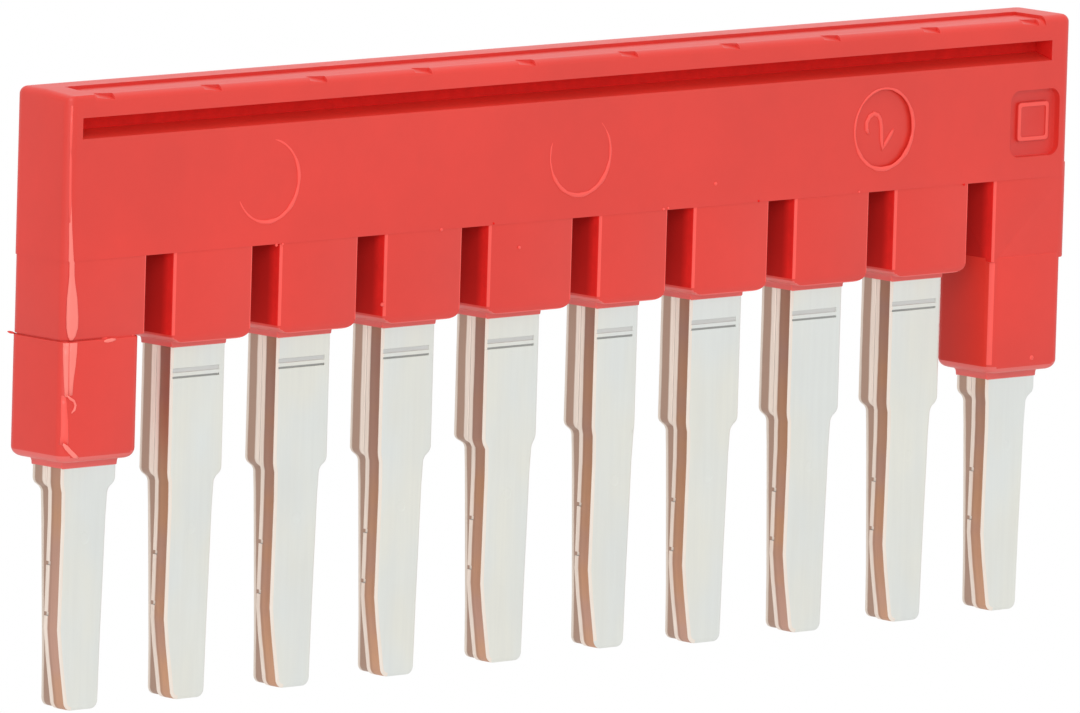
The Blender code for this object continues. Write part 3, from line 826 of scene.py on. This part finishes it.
def make_pad(s, front):
    """Plain pad that stands up from the recess."""
    floor = front + s.badge_depth
    return rounded_pad(PAD, PAD_SIZE, floor + 0.2 * MM, floor - s.pad_height, 0.16 * MM, 0.035 * MM)


def make_pad_hollow(s, front):
    """Cutter that leaves a plain rim round the pad."""
    top = front + s.badge_depth - s.pad_height
    return rounded_pad(PAD, PAD_HOLLOW, top - 0.2 * MM, top + 0.05 * MM, 0.10 * MM, 0.02 * MM)


def make_disc(m, front):
    """Cutter for the shallow disc inside the right ring."""
    bm = bmesh.new()
    height = 1.0 * MM
    bmesh.ops.create_cone(bm, cap_ends=True, segments=72, radius1=m.ring_radius, radius2=m.ring_radius,
                          depth=height, matrix=Matrix.Rotation(math.radians(90.0), 4, "X"))
    bmesh.ops.translate(bm, vec=(RINGS[-1], front + m.disc_depth - height / 2.0, m.ring_z), verts=bm.verts)
    return bm


def housing_finish(polygon, s, front):
    """Place of a face's finish in HOUSING_FINISHES."""
    n, c = polygon.normal, polygon.center
    in_end_block = abs(c.x) > END_BLOCKS
    # In the groove the lower wall, which faces up, keeps the plain red, and the other walls get the painted
    # shade.
    if GROOVE_LOW < c.z < GROOVE_HIGH and GROOVE_LEFT < c.x < GROOVE_RIGHT and c.y > front + SLACK:
        return MOULDED if n.z > 0.7 else RECESS_SHADE
    if near(c.z, GROOVE_HIGH):
        return RECESS_SHADE
    slots = [(block_walls(i, s.block_width)[1], block_walls(i + 1, s.block_width)[0])
             for i in range(POLES - 1)]
    in_slot = any(left - SLACK < c.x < right + SLACK for left, right in slots)
    # The walls in the slots get the painted shade.
    if in_slot and s.ledge - 0.1 * MM < c.z < s.slot_top + SLACK and abs(n.y) < 0.3:
        return RECESS_SHADE
    in_badge = all(abs(c[axis] - middle) < 1.4 * MM for axis, middle in ((0, BADGE[0]), (2, BADGE[1])))
    # In the recess the floor and walls get painted shade, and the pad's rim a painted highlight.
    if in_badge and front + SLACK / 2.0 < c.y < front + s.badge_depth + SLACK / 2.0:
        return EDGE_HIGHLIGHT if near(c.y, front + s.badge_depth - s.pad_height) else HOLLOW_SHADE
    in_notch = abs(n.x) > 0.08 and abs(c.x) < 23.8 * MM
    on_step = n.y < -0.9 and c.y > front + 0.8 * MM
    # The notches' walls and the relief's step get painted shade.
    if c.z > BAR_HIGH[2] - 0.6 * MM and n.z < 0.8 and (in_notch or on_step):
        return HOLLOW_SHADE
    # Rounded edges along the slots: painted highlight.
    on_corner = n.y < -0.3 and abs(n.x) > (0.25 if c.z > s.ledge else 0.55) and abs(n.z) < 0.1
    if on_corner and abs(c.x) < BAR_END - 0.5 * MM and c.z < s.slot_top:
        return EDGE_HIGHLIGHT
    # Feet and collars get the painted reflection.
    underside = s.sleeve_bottom if in_end_block else s.underside
    if c.z < underside or (n.z < -0.25 and c.z < underside + 0.25 * MM):
        return FOOT_SHEEN
    # The right sleeve's inner wall gets painted shade towards the back.
    return INNER_WALL if n.x < -0.9 and in_end_block and c.x > 0.0 and c.z < s.ledge else MOULDED


def make_shafts():
    """Room for both combs: one for the spine, and one for each pair of blades."""
    half = SHEET_FACE + SLACK
    shafts = [cuboid((wide_span(0)[0], -half, SPINE_LOW),
                     (wide_span(POLES - 1)[1], half, SPINE_HIGH + 2.0 * SLACK))]
    for index in range(POLES):
        left, right = wide_span(index)
        shafts.append(cuboid((left - SLACK, -half, -5.0 * MM), (right + SLACK, half, SPINE_LOW + 0.5 * MM)))
    return shafts


class JUMPERBAR_OT_housing(bpy.types.Operator):
    """Builds the moulded housing with its blocks, sleeves, groove, relief and recess"""
    bl_idname = "jumper_bar.housing"
    bl_label = "Housing"

    def execute(self, context):
        bar = context.scene.jumper_bar
        s = bar.housing
        front = CAD_LOW[1] + s.lip
        finishes = [red(bar, name) for name in HOUSING_FINISHES]
        housing = new_object("housing_moulding", make_bar(s, front), finishes)
        for operation, shapes in (
                ("UNION", make_blocks(s, front) + make_neck(s, front)),
                ("UNION", [make_sleeve(s, front, index) for index in END_POLES]),
                ("UNION", [make_collar(s, index) for index in range(POLES)]),
                ("DIFFERENCE", [make_groove(s, front), make_badge(s, front), make_disc(bar.marks, front)]),
                ("DIFFERENCE", make_reliefs(s, front)),
                ("UNION", [make_pad(s, front)]),
                ("DIFFERENCE", [make_pad_hollow(s, front)]),
                ("DIFFERENCE", make_notches(s, front) + make_shafts())):
            combine(housing, shapes, operation)
        tidy(housing)
        for polygon in housing.data.polygons:
            polygon.material_index = housing_finish(polygon, s, front)
        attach(housing, "root")
        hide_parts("housing")
        return {"FINISHED"}


# Combs

def nearest_pole(x):
    return min(POLES - 1, max(0, round(x / PITCH + (POLES - 1) / 2.0)))


def push_blade(bm, index, side):
    """Pushes one blade down out of the spine, step by step."""
    left, right = wide_span(index)
    face = [f for f in bm.faces if f.normal.z < -0.9 and left < f.calc_center_median().x < right
            and near(f.calc_center_median().z, SPINE_LOW)]
    for height, a, b in ((SHOULDER, None, None), *(FRONT_EDGES if side < 0 else REAR_EDGES)):
        face = extrude(bm, face, (0.0, 0.0, 0.0))
        x0, x1 = left, right
        if a is not None:
            x0 = pole_x(index) + a * MM + odd(index, "left" if side < 0 else "rear")
            x1 = pole_x(index) + b * MM + odd(index, "right")
        verts = {v for f in face for v in f.verts}
        middle = sum(v.co.x for v in verts) / len(verts)
        for vert in verts:
            vert.co.x = x0 if vert.co.x < middle else x1
            vert.co.z = COMB_LOW[2] + height * MM + odd(index, "lift")


def blade_corners(bm, side):
    """The edges across the sheet at the tips' corners and at the shoulders'."""
    tips, shoulders = [], []
    for edge in bm.edges:
        if not along(edge, 1):
            continue
        x, z = edge.verts[0].co.x, edge.verts[0].co.z
        index = nearest_pole(x)
        height = z - COMB_LOW[2] - odd(index, "lift")
        on_step = (x < pole_x(index)) == (side > 0)
        if near(height, 0.0):
            tips.append(edge)
        elif near(height, SHOULDER * MM) or (near(height, STEP * MM) and on_step):
            shoulders.append(edge)
    return tips, shoulders


def make_comb(c, side):
    """A comb: a spine with ten blades. Side -1 is the front comb, side 1 the rear one."""
    seam_y, face_y = side * c.seam / 2.0, side * SHEET_FACE
    first, last = wide_span(0)[0], wide_span(POLES - 1)[1]
    bm = cuboid((first, min(seam_y, face_y), SPINE_LOW), (last, max(seam_y, face_y), SPINE_HIGH))
    for index in range(POLES):
        for x in wide_span(index):
            if first < x < last:
                bmesh.ops.bisect_plane(bm, geom=bm.verts[:] + bm.edges[:] + bm.faces[:], dist=TINY,
                                       plane_co=(x, 0.0, 0.0), plane_no=(1.0, 0.0, 0.0))
    for index in range(POLES):
        push_blade(bm, index, side)
    bmesh.ops.recalc_face_normals(bm, faces=bm.faces)
    bmesh.ops.dissolve_limit(bm, angle_limit=FLAT, verts=bm.verts, edges=bm.edges)
    tips, shoulders = blade_corners(bm, side)
    soften(bm, shoulders, c.shoulder_round, 4)
    soften(bm, tips, c.tip_round, 7)
    soften(bm, [e for e in bm.edges if at(e, 1, face_y)], c.rollover, 4, clamp=False)
    for vert in bm.verts:
        depth = vert.co.y - face_y
        if abs(depth) < 1.01 * c.rollover:
            vert.co.y = face_y + depth * c.roll_depth / c.rollover
    soften(bm, [e for e in bm.edges if at(e, 1, seam_y)], c.burr_edge, 1)
    return bm


def edge_at(index, side, height):
    """Left edge of a blade's narrow part at a height above its tip in mm."""
    rows = FRONT_EDGES if side < 0 else REAR_EDGES
    above = [row for row in rows if row[0] >= height][-1]
    below = [row for row in rows if row[0] < height][0]
    share = (height - below[0]) / (above[0] - below[0])
    shift = odd(index, "left" if side < 0 else "rear")
    return pole_x(index) + (below[1] + (above[1] - below[1]) * share) * MM + shift


def score_cutter(c, side, index, low, high, share):
    """Cutter for one score line, a little narrower at its floor."""
    left, right = wide_span(index)
    face, depth, taper = side * SHEET_FACE, c.score_depth * share, 0.03 * MM
    bm = cuboid((left + SCORE_INSETS[0], face - depth, low * MM),
                (right - SCORE_INSETS[1], face + depth, high * MM))
    for vert in bm.verts:
        if vert.co.y * side < face * side:
            vert.co.z += taper if vert.co.z < (low + high) / 2.0 * MM else -taper
    return bm


def dimple_cutter(c, side, index):
    """Cutter for the round dimple, a flat lens."""
    bm = bmesh.new()
    bmesh.ops.create_uvsphere(bm, u_segments=24, v_segments=16, radius=DIMPLE_RADIUS)
    bmesh.ops.scale(bm, vec=(1.0, c.dimple_depth / DIMPLE_RADIUS, 1.0), verts=bm.verts)
    x = pole_x(index) - 0.10 * MM + odd(index, "left")
    place = (x, side * SHEET_FACE, DIMPLE_Z + odd(index, "lift"))
    bmesh.ops.translate(bm, vec=place, verts=bm.verts)
    return bm


def tick_cutter(c, side, index, height):
    """Cutter for a nick across the seam in a blade's left edge."""
    x = edge_at(index, side, height - COMB_LOW[2] / MM)
    z = height * MM + odd(index, "lift")
    low_y, high_y = sorted((-side * 0.2 * MM, side * 0.26 * MM))
    return cuboid((x - 0.2 * MM, low_y, z - TICK_HALF), (x + c.tick_depth, high_y, z + TICK_HALF))


def make_scores(c, side):
    """Cutters for the score lines under the inner blocks, the front dimples and the seam's nicks."""
    parts = []
    for index in range(POLES):
        if index not in END_POLES:
            parts += [score_cutter(c, side, index, *score) for score in SCORES]
        if side < 0:
            parts.append(dimple_cutter(c, side, index))
        parts += [tick_cutter(c, side, index, height) for height in TICKS]
    return join(parts)


def blade_finish(polygon, side, roll_depth):
    """Place of a face's finish in the comb's list of materials."""
    n, c = polygon.normal, polygon.center
    level = abs(n.y) > 0.94
    # Floors of the score lines get painted shade.
    if level and abs(c.y) < SHEET_FACE - 0.005 * MM and side * n.y > 0.0:
        for finish, (low, high, share) in zip((SCORE_SHADE_GREY, SCORE_SHADE_DARK), SCORES):
            if low * MM < c.z < high * MM:
                return finish
    on_roll = SHEET_FACE - roll_depth < abs(c.y) < SHEET_FACE - 0.0002 * MM
    in_scores = SCORES[-1][0] - 0.05 < c.z / MM < SCORES[0][1] + 0.05
    on_left = c.x < pole_x(nearest_pole(c.x)) - 0.5 * MM
    # The rollover on the blades' left edges gets the painted highlight.
    if on_roll and on_left and not (in_scores and abs(n.z) > 0.3):
        return RIM_HIGHLIGHT
    if level or on_roll:
        return TIN
    # The walls of the nicks get the darker painted shade.
    in_tick = abs(n.z) > 0.6 and any(abs(c.z - height * MM) < 0.3 * MM for height in TICKS)
    return SCORE_SHADE_DARK if in_tick else COPPER


def build_comb(context, name, node, side):
    """A finished comb: plated faces, sheared edges, score lines and dimples."""
    c = context.scene.jumper_bar.combs
    finishes = [material("tin_plating", tin_face, c), material("sheared_edge", cut_edge, c),
                material("rim_highlight", rim_highlight_finish, c),
                material("scored_grey", score_shade_tin, "scored_grey", GREY_SCORE_SHADE),
                material("scored_dark", score_shade_tin, "scored_dark", DARK_SCORE_SHADE)]
    comb = new_object(name, make_comb(c, side), finishes)
    combine(comb, [make_scores(c, side)], "DIFFERENCE")
    tidy(comb)
    for edge in comb.data.edges:
        if all(near(abs(comb.data.vertices[i].co.y), SHEET_FACE) for i in edge.vertices):
            edge.use_edge_sharp = True
    for polygon in comb.data.polygons:
        polygon.material_index = blade_finish(polygon, side, c.roll_depth)
    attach(comb, "root")
    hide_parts(node)


class JUMPERBAR_OT_front_comb(bpy.types.Operator):
    """Builds the front comb, whose blades are stepped on their right"""
    bl_idname = "jumper_bar.front_comb"
    bl_label = "Front Comb"

    def execute(self, context):
        build_comb(context, "front_blades", "front_comb", -1)
        return {"FINISHED"}


class JUMPERBAR_OT_rear_comb(bpy.types.Operator):
    """Builds the rear comb, whose blades are stepped on their left"""
    bl_idname = "jumper_bar.rear_comb"
    bl_label = "Rear Comb"

    def execute(self, context):
        build_comb(context, "rear_blades", "rear_comb", 1)
        return {"FINISHED"}


# Marks on the housing

# A plain digit of rounded strokes, as X and Z from the middle of its ring, and its unit.
DIGIT = ((-0.52, 0.28), (-0.44, 0.55), (-0.22, 0.74), (0.06, 0.78), (0.32, 0.66), (0.42, 0.42), (0.34, 0.14),
         (0.08, -0.16), (-0.24, -0.46), (-0.50, -0.76), (-0.10, -0.76), (0.24, -0.75), (0.54, -0.74))
DIGIT_SIZE = 0.88 * MM
# The strips are raised flash whose paler reds are painted highlights along the rounded corner; the lowest
# one, on the sleeve's corner, is a painted highlight.
# Flash along the left front corner: height in mm, turn about the corner's axis from the
# front, half the turn it spans, both in degrees, and how far it stands out in mm.
THIN_STREAK = ((9.30, 36, 6, 0.012), (8.60, 37, 8, 0.026), (7.85, 37, 6, 0.020), (7.62, 37, 3, 0.008),
               (7.35, 36, 7, 0.024), (6.20, 34, 7, 0.026), (5.60, 32, 7, 0.028), (5.05, 30, 7, 0.030))
STREAK = ((5.90, 30, 4, 0.010), (5.30, 29, 7, 0.028), (4.80, 27, 9, 0.034), (4.30, 23, 11, 0.040),
          (3.66, 19, 15, 0.042), (3.60, 14, 15, 0.042), (3.10, 12, 16, 0.036), (2.80, 10, 21, 0.038),
          (2.30, 5, 32, 0.044), (1.60, 0, 38, 0.050), (1.20, -1, 37, 0.044), (0.90, 2, 25, 0.034),
          (0.76, 6, 10, 0.020))
LEFT_STRAND = ((0.66, 38, 17, 0.030), (0.20, 37, 16, 0.042), (-0.40, 34, 14, 0.038), (-0.90, 31, 12, 0.032),
               (-1.30, 28, 10, 0.024))
RIGHT_STRAND = ((0.66, -6, 27, 0.030), (0.30, -5, 26, 0.042), (-0.20, -2, 22, 0.040),
                (-0.70, 3, 15, 0.036), (-1.25, 5, 12, 0.028))
CORNER_HIGHLIGHT = ((-1.25, 44, 14, 0.008), (-1.60, 42, 17, 0.016), (-2.20, 36, 20, 0.020), (-2.70, 34, 22, 0.020),
               (-3.05, 36, 26, 0.012))
# Thin pieces at the left sleeve: X from its left wall and Z, half the width and how far they
# stand out, all in mm. The spur starts at the block's left wall, and its points have a Y each.
# The pale pieces are raised flash and flakes whose paler red is a painted highlight; the spur keeps the plain
# red.
RIBBONS = (("flash_hook", ((0.20, -1.24), (0.34, -1.36), (0.52, -1.46), (0.60, -1.62), (0.56, -1.78),
                           (0.42, -1.90)), 0.05, 0.05, "pale_flash"),
           ("foot_flake_highlight", ((0.06, -3.00), (0.22, -3.14), (0.40, -3.30), (0.62, -3.47), (0.80, -3.56)),
            0.09, 0.03, "pale_flash"),
           ("ledge_spur", ((0.12, 0.70), (0.04, 0.73), (-0.04, 0.75), (-0.11, 0.77)),
            0.045, 0.035, "moulded_red"),
           ("ledge_flake_highlight", ((1.92, 0.615), (2.10, 0.63), (2.30, 0.645), (2.48, 0.655)),
            0.07, 0.035, "pale_flash"))
SPUR_DEPTHS = (1.30, 1.40, 1.45, 1.48)
# Specks on the front: X and Z, size, all in mm, and True for a pale one.
SPECKS = ((-6.91, 3.62, 0.07, True), (-2.96, 2.70, 0.07, True), (6.95, 4.45, 0.08, True),
          (23.76, -3.24, 0.11, True), (-4.30, 3.68, 0.05, False), (-9.77, 1.04, 0.08, True),
          (4.32, 3.66, 0.06, True), (4.55, 3.69, 0.05, True), (9.20, 3.66, 0.05, False),
          (-15.10, 3.58, 0.06, True), (-14.80, 3.60, 0.05, True), (14.40, 3.67, 0.05, True),
          (19.90, 3.60, 0.05, False))


def path_stations(points, half_width, height):
    """Stations for a ribbon on the front through the points, thin at both ends."""
    stations, end_share = [], 0.45
    for k, point in enumerate(points):
        ahead = points[min(k + 1, len(points) - 1)] - points[max(k - 1, 0)]
        across = Vector((ahead.z, 0.0, -ahead.x)).normalized()
        fade = end_share if k in (0, len(points) - 1) else 1.0
        stations.append((point, across * half_width * fade, Vector((0.0, -height * fade, 0.0))))
    return stations


def corner_strip(corner, radius, rows):
    """A thin strip laid round a rounded left front corner, and on along the front past it."""
    bm = ribbon([(Vector((0.0, 0.0, row[0] * MM)), Vector((1.0, 0.0, 0.0)), Vector((0.0, 1.0, 0.0)))
                 for row in rows])
    centre = (corner[0] + radius, corner[1] + radius)
    for vert in bm.verts:
        _, turn, half, rise = min(rows, key=lambda row: abs(row[0] * MM - vert.co.z))
        angle = math.radians(turn + vert.co.x * half)
        out = vert.co.y * rise * MM
        if angle > 0.0:
            reach = radius + out
            vert.co.x, vert.co.y = centre[0] - reach * math.sin(angle), centre[1] - reach * math.cos(angle)
        else:
            vert.co.x, vert.co.y = centre[0] - angle * radius, corner[1] - out
    return bm


def place_mark(name, bm, finish):
    mark = new_object(name, bm, [finish])
    mark.data.shade_smooth()
    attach(mark, "root")


class JUMPERBAR_OT_rings(bpy.types.Operator):
    """Builds the three raised ring marks on the front and the digit in the right one"""
    bl_idname = "jumper_bar.rings"
    bl_label = "Ring Marks"

    def execute(self, context):
        bar = context.scene.jumper_bar
        m, front = bar.marks, CAD_LOW[1] + bar.housing.lip
        # The rings and the digit are real marks; their paler red is a painted highlight.
        faint = red(bar, "faint_flash")
        for number, (x, side) in enumerate(zip(RINGS, RING_SIDES), start=1):
            bm = bmesh.new()
            bmesh.ops.create_circle(bm, cap_ends=False, segments=12, radius=1.0)
            bmesh.ops.scale(bm, vec=(m.ring_width / 2.0, m.ring_height, 1.0), verts=bm.verts)
            bmesh.ops.translate(bm, vec=(m.ring_radius, 0.0, 0.0), verts=bm.verts)
            bmesh.ops.spin(bm, geom=bm.verts[:] + bm.edges[:], cent=(0.0, 0.0, 0.0), axis=(0.0, 1.0, 0.0),
                           angle=math.tau, steps=96, use_merge=True)
            bmesh.ops.remove_doubles(bm, verts=bm.verts, dist=TINY)
            self.thin_out(bm, m.ring_radius, *side)
            bmesh.ops.translate(bm, vec=(x, front, m.ring_z), verts=bm.verts)
            place_mark("ring_mark_%d" % number, bm, faint)
        middle = Vector((RINGS[-1] - 0.18 * MM, front + m.disc_depth, m.ring_z))
        turn = Matrix.Rotation(-m.digit_turn, 3, "Y")
        points = [middle + turn @ Vector((x * DIGIT_SIZE, 0.0, z * DIGIT_SIZE)) for x, z in DIGIT]
        place_mark("ring_digit", ribbon(path_stations(points, 0.085 * MM, m.digit_height)), faint)
        return {"FINISHED"}

    @staticmethod
    def thin_out(bm, radius, x, z, most, least):
        """Makes a ring uneven, and thin on the side where the mould hardly marked it. Where it is
        thinnest it sinks into the front."""
        sunk = 0.03 * MM
        for vert in bm.verts:
            outward = Vector((vert.co.x, 0.0, vert.co.z)).normalized()
            turn = math.atan2(outward.z, outward.x)
            share = max(0.0, (1.0 + outward.dot(Vector((x, 0.0, z)))) / 2.0)
            share = least + (most - least) * min(1.0, 1.25 * share ** 1.3)
            share *= 1.0 + 0.16 * math.sin(7.0 * turn) + 0.10 * math.sin(17.0 * turn + 1.0)
            line = outward * radius
            vert.co = line + (vert.co - line) * share
            vert.co.y += max(0.0, 1.0 - 2.0 * share) * sunk


class JUMPERBAR_OT_flash(bpy.types.Operator):
    """Builds the mould flash: the streak down the left front corner, its hook and the small spurs"""
    bl_idname = "jumper_bar.flash"
    bl_label = "Mould Flash"

    def execute(self, context):
        bar = context.scene.jumper_bar
        s = bar.housing
        front = CAD_LOW[1] + s.lip
        block = -BAR_END + MISMATCH
        upper, lower = (-BAR_END + BAR_DRAFT, front), (block - s.lip, front - s.lip)
        # The paler reds of the strips are painted highlights.
        strips = ((upper, THIN_STREAK, "faint_flash"), (upper, STREAK, "pale_flash"),
                  (lower, LEFT_STRAND, "pale_flash"), (lower, RIGHT_STRAND, "pale_flash"),
                  (lower, CORNER_HIGHLIGHT, "faint_flash"))
        for number, (corner, rows, finish) in enumerate(strips, start=1):
            strip = corner_strip(corner, s.end_round, rows)
            place_mark("mould_flash_%d" % number, strip, red(bar, finish))
        for name, path, half_width, height, finish in RIBBONS:
            points = [Vector((lower[0] + x * MM, lower[1], z * MM)) for x, z in path]
            if name == "ledge_spur":
                points = [Vector((block + x * MM, y * MM, z * MM)) for (x, z), y in zip(path, SPUR_DEPTHS)]
            strip = ribbon(path_stations(points, half_width * MM, height * MM))
            place_mark(name, strip, red(bar, finish))
        # The dark specks share the darker red that is painted shade in the slots.
        for name, wanted, finish in (("pale_specks", True, "faint_flash"),
                                     ("dark_specks", False, "recessed_red")):
            specks = [self.speck(front, x, z, size) for x, z, size, pale in SPECKS if pale == wanted]
            place_mark(name, join(specks), red(bar, finish))
        return {"FINISHED"}

    @staticmethod
    def speck(front, x, z, size):
        """A flat grain on the front."""
        bm = bmesh.new()
        bmesh.ops.create_icosphere(bm, subdivisions=2, radius=1.0)
        bmesh.ops.scale(bm, vec=(size * MM, 0.05 * MM, 0.9 * size * MM), verts=bm.verts)
        bmesh.ops.translate(bm, vec=(x * MM, front + 0.005 * MM, z * MM), verts=bm.verts)
        return bm


# Stage

class JUMPERBAR_OT_stage(bpy.types.Operator):
    """Sets up the floor, the lamps, the room's light and the camera"""
    bl_idname = "jumper_bar.stage"
    bl_label = "Stage"

    def execute(self, context):
        s = context.scene.jumper_bar.stage
        self.floor(s)
        self.world(context, s)
        self.lamp("key_lamp", KEY_LAMP, 0.30, s.key_power)
        self.lamp("top_lamp", TOP_LAMP, 0.50, s.top_power)
        self.camera(context, s)
        context.scene.view_settings.view_transform = "Standard"
        return {"FINISHED"}

    @staticmethod
    def seen(tree):
        """1 for a ray that shows the background: from the camera, a reflection or glass."""
        path = tree.nodes.new("ShaderNodeLightPath")
        value = path.outputs["Is Camera Ray"]
        for name in ("Is Glossy Ray", "Is Transmission Ray"):
            node = tree.nodes.new("ShaderNodeMath")
            node.operation = "MAXIMUM"
            tree.links.new(value, node.inputs[0])
            tree.links.new(path.outputs[name], node.inputs[1])
            value = node.outputs["Value"]
        return value

    @staticmethod
    def blend(tree, factor, a, b, target):
        """Sends one shader to a target where the factor is 0, and the other where it is 1."""
        mixed = tree.nodes.new("ShaderNodeMixShader")
        for number, source in enumerate((factor, a, b)):
            tree.links.new(source, mixed.inputs[number])
        tree.links.new(mixed.outputs["Shader"], target)

    def floor(self, s):
        bm = bmesh.new()
        bmesh.ops.create_circle(bm, cap_ends=True, segments=96, radius=0.9)
        bmesh.ops.translate(bm, vec=(0.0, 0.0, CAD_LOW[2] - s.floor_drop), verts=bm.verts)
        finish = Finish("pale_floor")
        clouds = finish.noise(14.0, 3.0)
        base = finish.mix(clouds, shade(s.floor_colour, 0.98), shade(s.floor_colour, 1.01))
        finish.set(base_color=base, roughness=0.9)
        glow = finish.node("ShaderNodeEmission")
        glow.inputs["Color"].default_value = WHITE
        distance = finish.node("ShaderNodeVectorMath", operation="LENGTH")
        finish.link(finish.place, distance.inputs[0])
        far = finish.ramp(distance.outputs["Value"], (0.12, 0.0), (0.30, 1.0))
        both = finish.math("MULTIPLY", self.seen(finish.tree), far)
        self.blend(finish.tree, both, finish.shader.outputs["BSDF"], glow.outputs["Emission"],
                   finish.tree.nodes["Material Output"].inputs["Surface"])
        new_object("floor", bm, [finish.material])

    def world(self, context, s):
        """An even light, and plain white wherever the background shows."""
        world = bpy.data.worlds.new("room")
        world.use_nodes = True
        context.scene.world = world
        tree = world.node_tree
        light, white = tree.nodes["Background"], tree.nodes.new("ShaderNodeBackground")
        for node, strength in ((light, s.ambient), (white, 1.0)):
            node.inputs["Color"].default_value = WHITE
            node.inputs["Strength"].default_value = strength
        self.blend(tree, self.seen(tree), light.outputs["Background"], white.outputs["Background"],
                   tree.nodes["World Output"].inputs["Surface"])

    @staticmethod
    def lamp(name, place, size, power):
        """A square lamp that shines at the part."""
        light = bpy.data.lights.new(name, "AREA")
        light.shape = "SQUARE"
        light.size = size
        light.energy = power
        lamp = bpy.data.objects.new(name, light)
        bpy.context.scene.collection.objects.link(lamp)
        lamp.location = place
        lamp.rotation_euler = (-Vector(place)).to_track_quat("-Z", "Y").to_euler()

    @staticmethod
    def camera(context, s):
        data = bpy.data.cameras.new("camera")
        data.sensor_width = 36.0
        data.lens = s.focal_length
        data.clip_start, data.clip_end = 0.05, 20.0
        back = Vector((-math.sin(s.azimuth) * math.cos(s.elevation),
                       -math.cos(s.azimuth) * math.cos(s.elevation), math.sin(s.elevation)))
        level = Vector((math.cos(s.azimuth), -math.sin(s.azimuth), 0.0))
        rise = back.cross(level)
        right = level * math.cos(s.roll) - rise * math.sin(s.roll)
        up = level * math.sin(s.roll) + rise * math.cos(s.roll)
        camera = bpy.data.objects.new("camera", data)
        context.scene.collection.objects.link(camera)
        turn = Matrix((right, up, back)).transposed().to_4x4()
        camera.matrix_world = Matrix.Translation(Vector(s.aim) + back * s.distance) @ turn
        context.scene.camera = camera


class JUMPERBAR_PT_panel(bpy.types.Panel):
    """Lists the pieces of the jumper bar and their sizes"""
    bl_idname = "JUMPERBAR_PT_panel"
    bl_label = "Jumper Bar"
    bl_space_type = "VIEW_3D"
    bl_region_type = "UI"
    bl_category = "Jumper Bar"

    def draw(self, context):
        bar = context.scene.jumper_bar
        for title, group, operators in (
                ("Housing", bar.housing, ("housing",)), ("Combs", bar.combs, ("front_comb", "rear_comb")),
                ("Marks", bar.marks, ("rings", "flash")), ("Stage", bar.stage, ("stage",))):
            box = self.layout.box()
            box.label(text=title)
            for key in group.bl_rna.properties.keys():
                if key not in ("rna_type", "name"):
                    box.prop(group, key)
            for operator in operators:
                box.operator("jumper_bar." + operator)


CLASSES = (HousingSettings, CombSettings, MarkSettings, StageSettings, JumperBarSettings,
           JUMPERBAR_OT_housing, JUMPERBAR_OT_front_comb, JUMPERBAR_OT_rear_comb, JUMPERBAR_OT_rings,
           JUMPERBAR_OT_flash, JUMPERBAR_OT_stage, JUMPERBAR_PT_panel)


def register():
    for cls in CLASSES:
        bpy.utils.register_class(cls)
    bpy.types.Scene.jumper_bar = PointerProperty(type=JumperBarSettings)


def unregister():
    del bpy.types.Scene.jumper_bar
    for cls in reversed(CLASSES):
        bpy.utils.unregister_class(cls)


def main():
    register()
    bpy.ops.jumper_bar.housing()
    bpy.ops.jumper_bar.front_comb()
    bpy.ops.jumper_bar.rear_comb()
    bpy.ops.jumper_bar.rings()
    bpy.ops.jumper_bar.flash()
    bpy.ops.jumper_bar.stage()


if __name__ == "__main__":
    main()
